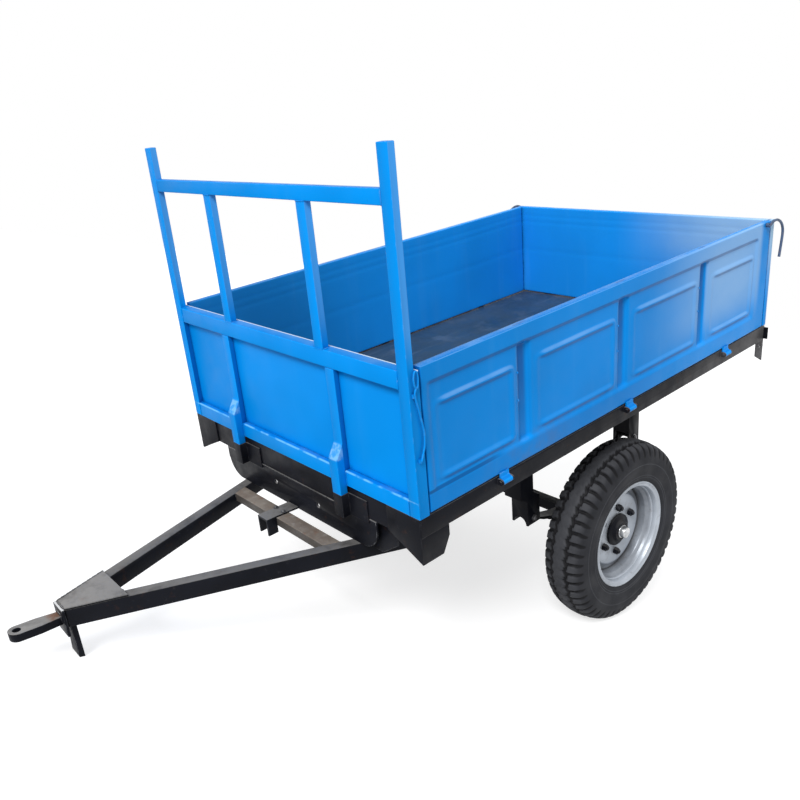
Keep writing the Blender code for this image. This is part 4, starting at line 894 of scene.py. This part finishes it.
def rim_disc(centre, side, word):
    """Dished disc with its six wheel-nut holes."""
    section = through([(0.1815, -0.015), (0.178, -0.0095), (0.17, -0.008), (0.16, -0.0062),
                       (0.15, 0.003), (0.14, 0.0048), (0.115, 0.0052), (0.09, 0.0052),
                       (0.033, 0.0052)], 3)
    plate = wheel_ring(section + [(r, y + 0.0055) for r, y in section[::-1]], centre, side)
    disc = plate.piece(f"rim_{word}_disc", f"wheel_{word}", RIM_SILVER, "rim_silver", 45)
    holes = Shape()
    for i in range(6):
        at = on_wheel(centre, HOLE_CIRCLE, HOLE_TURN + pi * i / 3, -side * 0.02)
        holes.disc(at, (0, side, 0), 0.0115, 0.05, 24)
    cutter = added("holes", holes.mesh("holes", Matrix()))
    cut = disc.modifiers.new("holes", "BOOLEAN")
    cut.operation, cut.solver, cut.object = "DIFFERENCE", "EXACT", cutter
    bpy.context.view_layer.update()
    graph = bpy.context.evaluated_depsgraph_get()
    pierced = bpy.data.meshes.new_from_object(disc.evaluated_get(graph))
    disc.modifiers.clear()
    disc.data = pierced
    pierced.set_sharp_from_angle(angle=radians(40))
    bpy.data.objects.remove(cutter)


def hub_skin(centre, side, word):
    """Cast hub, its ring of wheel nuts, the bright grease cap, and the tyre's valve."""
    axis = (0, side, 0)
    hub = Shape()
    hub.turned([(0, -0.058), (0.046, -0.058), (0.048, -0.055), (0.048, -0.0072),
                (0.113, -0.0072), (0.1148, -0.0055), (0.1148, 0.0045), (0.033, 0.0045),
                (0.033, 0.0115), (0.0655, 0.0117), (0.067, 0.0135), (0.0665, 0.0205),
                (0.064, 0.0225), (0.05, 0.024), (0.045, 0.027), (0.0425, 0.034),
                (0.04, 0.0368), (0, 0.037)], centre, axis, 72)
    hub.piece(f"hub_{word}_casting", f"wheel_{word}", HUB_BLACK, "black_paint", 40,
              replaces=f"hub_{word}")

    nut = [(0, 0), (0.015, 0), (0.015, 0.013), (0.0132, 0.0155), (0, 0.0155)]
    stud = [(0, 0.012), (0.0085, 0.012), (0.0085, 0.021), (0.007, 0.0225), (0, 0.0225)]
    nuts = Shape()
    for i in NUT_HOLES:
        at = on_wheel(centre, HOLE_CIRCLE, HOLE_TURN + pi * i / 3, side * 0.0107)
        nuts.turned(nut, at, axis, 6)
        nuts.turned(stud, at, axis, 16)
    nuts.piece(f"hub_{word}_nuts", f"wheel_{word}", HUB_BLACK, "black_paint")

    cap = Shape()
    cap.turned([(0, 0.0368), (0.0262, 0.0368), (0.0268, 0.038), (0.0262, 0.0398),
                (0.0238, 0.0405), (0.0234, 0.042), (0.023, 0.056), (0.0215, 0.0582),
                (0.018, 0.059), (0, 0.0592)], centre, axis, 56)
    cap.piece(f"hub_{word}_cap", f"wheel_{word}", CAP_STEEL, "rim_silver")

    turn = radians(65) - PITCH
    inward = Vector((-cos(turn), side * 0.55, -sin(turn))).normalized()
    valve = Shape()
    valve.turned([(0, -0.006), (0.0058, -0.006), (0.005, 0.01), (0.0038, 0.014), (0.0038, 0.03),
                  (0.0046, 0.0305), (0.0046, 0.038), (0, 0.0385)],
                 on_wheel(centre, 0.192, turn, side * 0.047), inward, 16)
    valve.piece(f"valve_{word}", f"wheel_{word}", RUBBER, "tyre_rubber")


def wheels():
    for side, word in SIDES:
        centre = Vector(JOINTS[f"wheel_{word}_spin"]["pos_m"])
        for part in (tyre_skin, rim_barrel, rim_disc, hub_skin):
            part(centre, side, word)


# ---- running gear ----
def leaf_spring(word):
    """Leaves drawn together at the axle, the longest rolled into an eye at each end."""
    low, high = bed_box(f"leaf_spring_{word}")
    middle = ((AXLE[0] + AXLE[1]) / 2).x
    base = AXLE[1].z + 0.0006 + (LEAVES - 1) * LEAF_PITCH
    rise = SPRING_EYE_DROP - 0.009 - base
    pack = Shape()
    for leaf in range(LEAVES):
        end = SPRING_REACH * (1 - leaf / 5.5)
        rings = []
        for stop in [end * (2 * i / 28 - 1) for i in range(29)]:
            under = base + rise * (stop / SPRING_REACH) ** 2 - leaf * LEAF_PITCH
            narrow = 0.006 if leaf and abs(stop) > end - 0.008 else 0.0
            x = middle + stop
            right, left, over = low.y + narrow, high.y - narrow, under + LEAF_THICK
            rings.append([(x, right, under), (x, left, under), (x, left, over), (x, right, over)])
        pack.loft(rings)
    wall = ((0.0178, low.y), (0.0178, high.y), (0.0118, high.y), (0.0118, low.y))
    for end in (1, -1):
        pack.loft([[(middle + end * SPRING_REACH + r * cos(t), y, SPRING_EYE_DROP + r * sin(t))
                    for r, y in wall] for t in around(24)], closed=True)
    pack.piece(f"leaf_spring_{word}_pack", "chassis", FRAME_BLACK, "black_paint", bevel=0.0008,
               replaces=f"leaf_spring_{word}")
    nuts = Shape()
    foot = bed_box(f"spring_clamp_{word}")[0].z + 0.006
    for x in (AXLE[0].x - 0.005, AXLE[1].x + 0.005):
        for y in (low.y - 0.005, high.y + 0.005):
            nuts.bolt((x, y, foot), (0, 0, -1), 0.0075)
    nuts.piece(f"clamp_nuts_{word}", "chassis", BOLT_STEEL, "bare_steel")


# ---- welds and fastenings ----
def headboard_welds():
    """Beads where the headboard's square tubes meet."""
    welds = Shape()
    for word in ("top", "mid", "foot"):
        low, high = bed_box(f"headboard_{word}_rail")
        for side in (-1, 1):
            y = side * (high.y + 0.0002)
            welds.weld((high.x, y, low.z), (high.x, y, high.z), 0.0022)
            welds.weld((low.x + 0.004, y, high.z), (high.x, y, high.z), 0.0022)
    for _, word in SIDES:
        low, high = bed_box(f"headboard_bar_{word}")
        for level in (low.z, high.z):
            welds.weld((high.x, low.y, level), (high.x, high.y, level), 0.002)
            for y in (low.y, high.y):
                welds.weld((low.x, y, level), (high.x, y, level), 0.002)
        low, high = bed_box(f"headboard_stake_{word}")
        for y in (low.y, high.y):
            welds.weld((0.0, y, FOOT_RAIL[1].z), (0.0, y, 0.0), 0.002)
    welds.piece("headboard_welds", "chassis", FRONT_BLUE, "blue_paint", sharp=80)


def drawbar_line(x):
    """Top of the drawbar's beams at x, along their slope."""
    low, high = bed_box("drawbar_left")
    share = (x - low.x) / (high.x - low.x)
    beam = 0.063
    return (low.z + beam) + (high.z - low.z - beam) * share


def chassis_welds():
    """Beads along the drawbar, its gusset and plates, and under the bed."""
    welds = Shape()
    gusset = bed_box("nose_gusset")
    back, front, half = gusset[0].x, gusset[1].x, gusset[1].y
    top_back, top_front = [drawbar_line(x) + 0.0045 for x in (back, front)]
    for side in (-1, 1):
        welds.weld((back, side * half, top_back), (front, side * 0.031, top_front), 0.003)
    for side in (-1, 1):
        welds.weld((back, side * half * 0.8, top_back - 0.004),
                   (back, side * half * 0.45, top_back - 0.004), 0.0032)
    nose_low, nose_high = NOSE_PLATE
    welds.weld((nose_low.x, -0.03, top_front + 0.001), (nose_low.x, 0.03, top_front + 0.001),
               0.003)
    root = bed_box("hitch_tongue")[0].x
    for y in (-0.019, 0.019):
        welds.weld((root, y, nose_high.z - 0.05), (root, y, nose_high.z - 0.024), 0.0034)
    welds.weld((root, -0.019, nose_high.z - 0.0205), (root, 0.019, nose_high.z - 0.0205), 0.0036)
    plate = bed_box("front_plate")[1]
    welds.weld((plate.x, -0.36, plate.z), (plate.x, 0.2, plate.z), 0.0026)
    cross = bed_box("cross_beam")
    spread = 0.3665  # how fast the drawbar's beams part, across for along
    for side in (-1, 1):
        for x in (cross[0].x, cross[1].x):
            inner = 0.031 + spread * (0.893 - x) - 0.041 * hypot(1, spread)
            level = drawbar_line(x)
            welds.weld((x, side * inner, level), (x, side * inner, level - 0.034), 0.0026)
    for _, word in SIDES:
        for kind, inset in (("front", 0.036), ("rear", 0.0)):
            low, high = bed_box(f"spring_hanger_{kind}_{word}")
            for y in (low.y + 0.007, high.y - 0.007):
                welds.weld((low.x + inset, y, high.z), (high.x, y, high.z), 0.003)
    welds.piece("chassis_welds", "chassis", CHASSIS_BLACK, "black_paint", sharp=80)


def closing_plates():
    """Webs in the rear hangers, and plates that close the rails' open ends."""
    plates = Shape()
    for side, word in SIDES:
        low, high = bed_box(f"spring_hanger_rear_{word}")
        plates.block((high.x - 0.006, low.y + 0.0085, high.z - 0.152),
                     (high.x - 0.0015, high.y - 0.0085, high.z - 0.0005))
        low, high = bed_box(f"chassis_rail_{word}")
        outline = ((0.385, low.z), (0.44, low.z), (0.52, low.z + 0.058),
                   (0.52, high.z - 0.0005), (0.385, high.z - 0.0005))
        plates.loft([[(x, side * y, z) for y, z in outline]
                     for x in (high.x + 0.0004, high.x + 0.0044)])
        low, high = bed_box(f"side_rail_{word}")
        member = bed_box("rear_member")[1].y
        y = sorted((side * (member + 0.0005), side * (max(high.y, -low.y) - 0.0055)))
        plates.block((low.x + 0.0005, y[0], low.z + 0.0055),
                     (low.x + 0.0045, y[1], high.z - 0.0055))
    plates.piece("closing_plates", "chassis", CHASSIS_BLACK, "black_paint", bevel=0.0008)


def bolts():
    """Bolt heads on the hangers, shackles, cross bracket and rear brackets."""
    heads = Shape()
    hanger_bolts = {"front": (AXLE_X + SPRING_REACH, SPRING_EYE_DROP),
                    "rear": (AXLE_X - SPRING_REACH - 0.045, SPRING_EYE_DROP + 0.085)}
    for side, word in SIDES:
        for kind, (x, z) in hanger_bolts.items():
            inner, outer = [corner.y for corner in bed_box(f"spring_hanger_{kind}_{word}")][::side]
            heads.bolt((x, outer - side * 0.0065, z), (0, side, 0), 0.0105)
            heads.bolt((x, inner + side * 0.0065, z), (0, -side, 0), 0.0105)
        low, high = bed_box(f"corner_bracket_rear_{word}")
        for x in (low.x + 0.018, high.x - 0.018):
            heads.bolt((x, (low.y, high.y)[side > 0], high.z - 0.02), (0, side, 0), 0.0062)
    slope = radians(4.0)
    x = 0.057
    for y in (0.0, -0.048):
        heads.bolt((x, y, drawbar_line(x) + 0.0083), (-sin(slope), 0, cos(slope)), 0.0072)
    heads.piece("bolt_heads", "chassis", BOLT_STEEL, "bare_steel")


# ---- carried-over pieces ----
def softened_nodes():
    """Every remaining CAD node with its rounded edges and its surface."""
    surfaces = (  # how the name starts, surface, edge radius
        ("headboard", FRONT_BLUE, 0.0028), ("floor_plate", FLOOR_SHEET, 0.0008),
        ("cross_beam", MILL_STEEL, 0.002), ("drawbar", DRAWBAR_BLACK, 0.0035),
        ("nose_gusset", GUSSET_BLACK, 0.0012), ("nose_plate", NOSE_BLACK, 0.0018),
        ("hitch_tongue", TONGUE_BLACK, 0.003), ("stand_leg", DRAWBAR_BLACK, 0.0015),
        ("cross_bracket", CHASSIS_BLACK, 0.0018), ("front_plate", PLATE_BLACK, 0.0015),
        ("chassis", CHASSIS_BLACK, 0.0015), ("spring", FRAME_BLACK, 0.0015),
        ("axle", FRAME_BLACK, 0.003), ("", FRAME_BLACK, 0.0012),
    )
    replaced = ("side_board", "tailgate", "tyre", "rim", "hub", "tail_hook", "front_latch",
                "leaf_spring")
    for node in sorted(frame["nodes"]):
        if node.startswith(replaced):
            continue
        surface, bevel = next((s, b) for start, s, b in surfaces if node.startswith(start))
        softened(node, surface, bevel)


# ---- floor, light and camera ----
def emptied(data):
    """A material's or a world's own node tree, with nothing in it."""
    data.use_nodes = True
    data.node_tree.nodes.clear()
    return Nodes(data.node_tree)


def seen_rays(nodes):
    """1 for rays from the camera and for those that glossy or clear surfaces send on."""
    path = nodes.node("LightPath")
    total = path.outputs["Is Camera Ray"]
    for kind in ("Is Glossy Ray", "Is Transmission Ray"):
        total = nodes.math("ADD", total, path.outputs[kind], clamp=True)
    return total


def stage():
    """Pale floor that stays white round the trailer and keeps its soft shadow."""
    material = bpy.data.materials.new("pale_floor")
    nodes = emptied(material)
    matt = nodes.node("BsdfDiffuse", Color=(0.48, 0.48, 0.485, 1))
    lift = nodes.math("MULTIPLY", seen_rays(nodes), 0.7)
    glow = nodes.node("Emission", Color=(1, 1, 1, 1), Strength=lift)
    both = nodes.node("AddShader", matt.outputs[0], glow.outputs[0])
    nodes.node("OutputMaterial", Surface=both.outputs[0])
    mesh = bpy.data.meshes.new("floor")
    mesh.from_pydata([(x * FLOOR_REACH, y * FLOOR_REACH, 0)
                      for x, y in ((-1, -1), (1, -1), (1, 1), (-1, 1))], [], [(0, 1, 2, 3)])
    mesh.materials.append(material)
    added("floor", mesh)


def lights():
    """White surroundings, and a soft key from the front and above."""
    world = bpy.data.worlds.new("studio")
    bpy.context.scene.world = world
    nodes = emptied(world)
    shown, lit = [nodes.node("Background", Color=(1, 1, 1, 1), Strength=strength)
                  for strength in (1.0, WORLD_LIGHT)]
    mix = nodes.node("MixShader", seen_rays(nodes), lit.outputs[0], shown.outputs[0])
    nodes.node("OutputWorld", Surface=mix.outputs[0])

    key = bpy.data.lights.new("key", "SUN")
    key.energy, key.angle = KEY_LIGHT, radians(22)
    lamp = added("key", key)
    lamp.rotation_euler = Vector(KEY_FROM).to_track_quat("Z", "Y").to_euler()


def camera():
    """Camera at the viewing angle, placed in the bed frame."""
    data = bpy.data.cameras.new("camera")
    data.lens, data.sensor_width = 35.52, 36.0
    data.shift_x, data.shift_y = 0.0806, -0.0054
    data.clip_end = 200
    view, up = CAMERA_VIEW.normalized(), CAMERA_UP.normalized()
    right = view.cross(up).normalized()
    turn = Matrix((right, right.cross(view), -view)).transposed()
    eye = added("camera", data)
    eye.matrix_world = BED @ Matrix.Translation(CAMERA_AT) @ turn.to_4x4()
    bpy.context.scene.camera = eye


camera()
lights()
stage()
boards()
for side, word in SIDES:
    tail_hook(side, word)
    front_latch(side, word)
    leaf_spring(word)
wheels()
headboard_welds()
chassis_welds()
closing_plates()
bolts()
softened_nodes()
bpy.context.scene.view_settings.view_transform = "Standard"
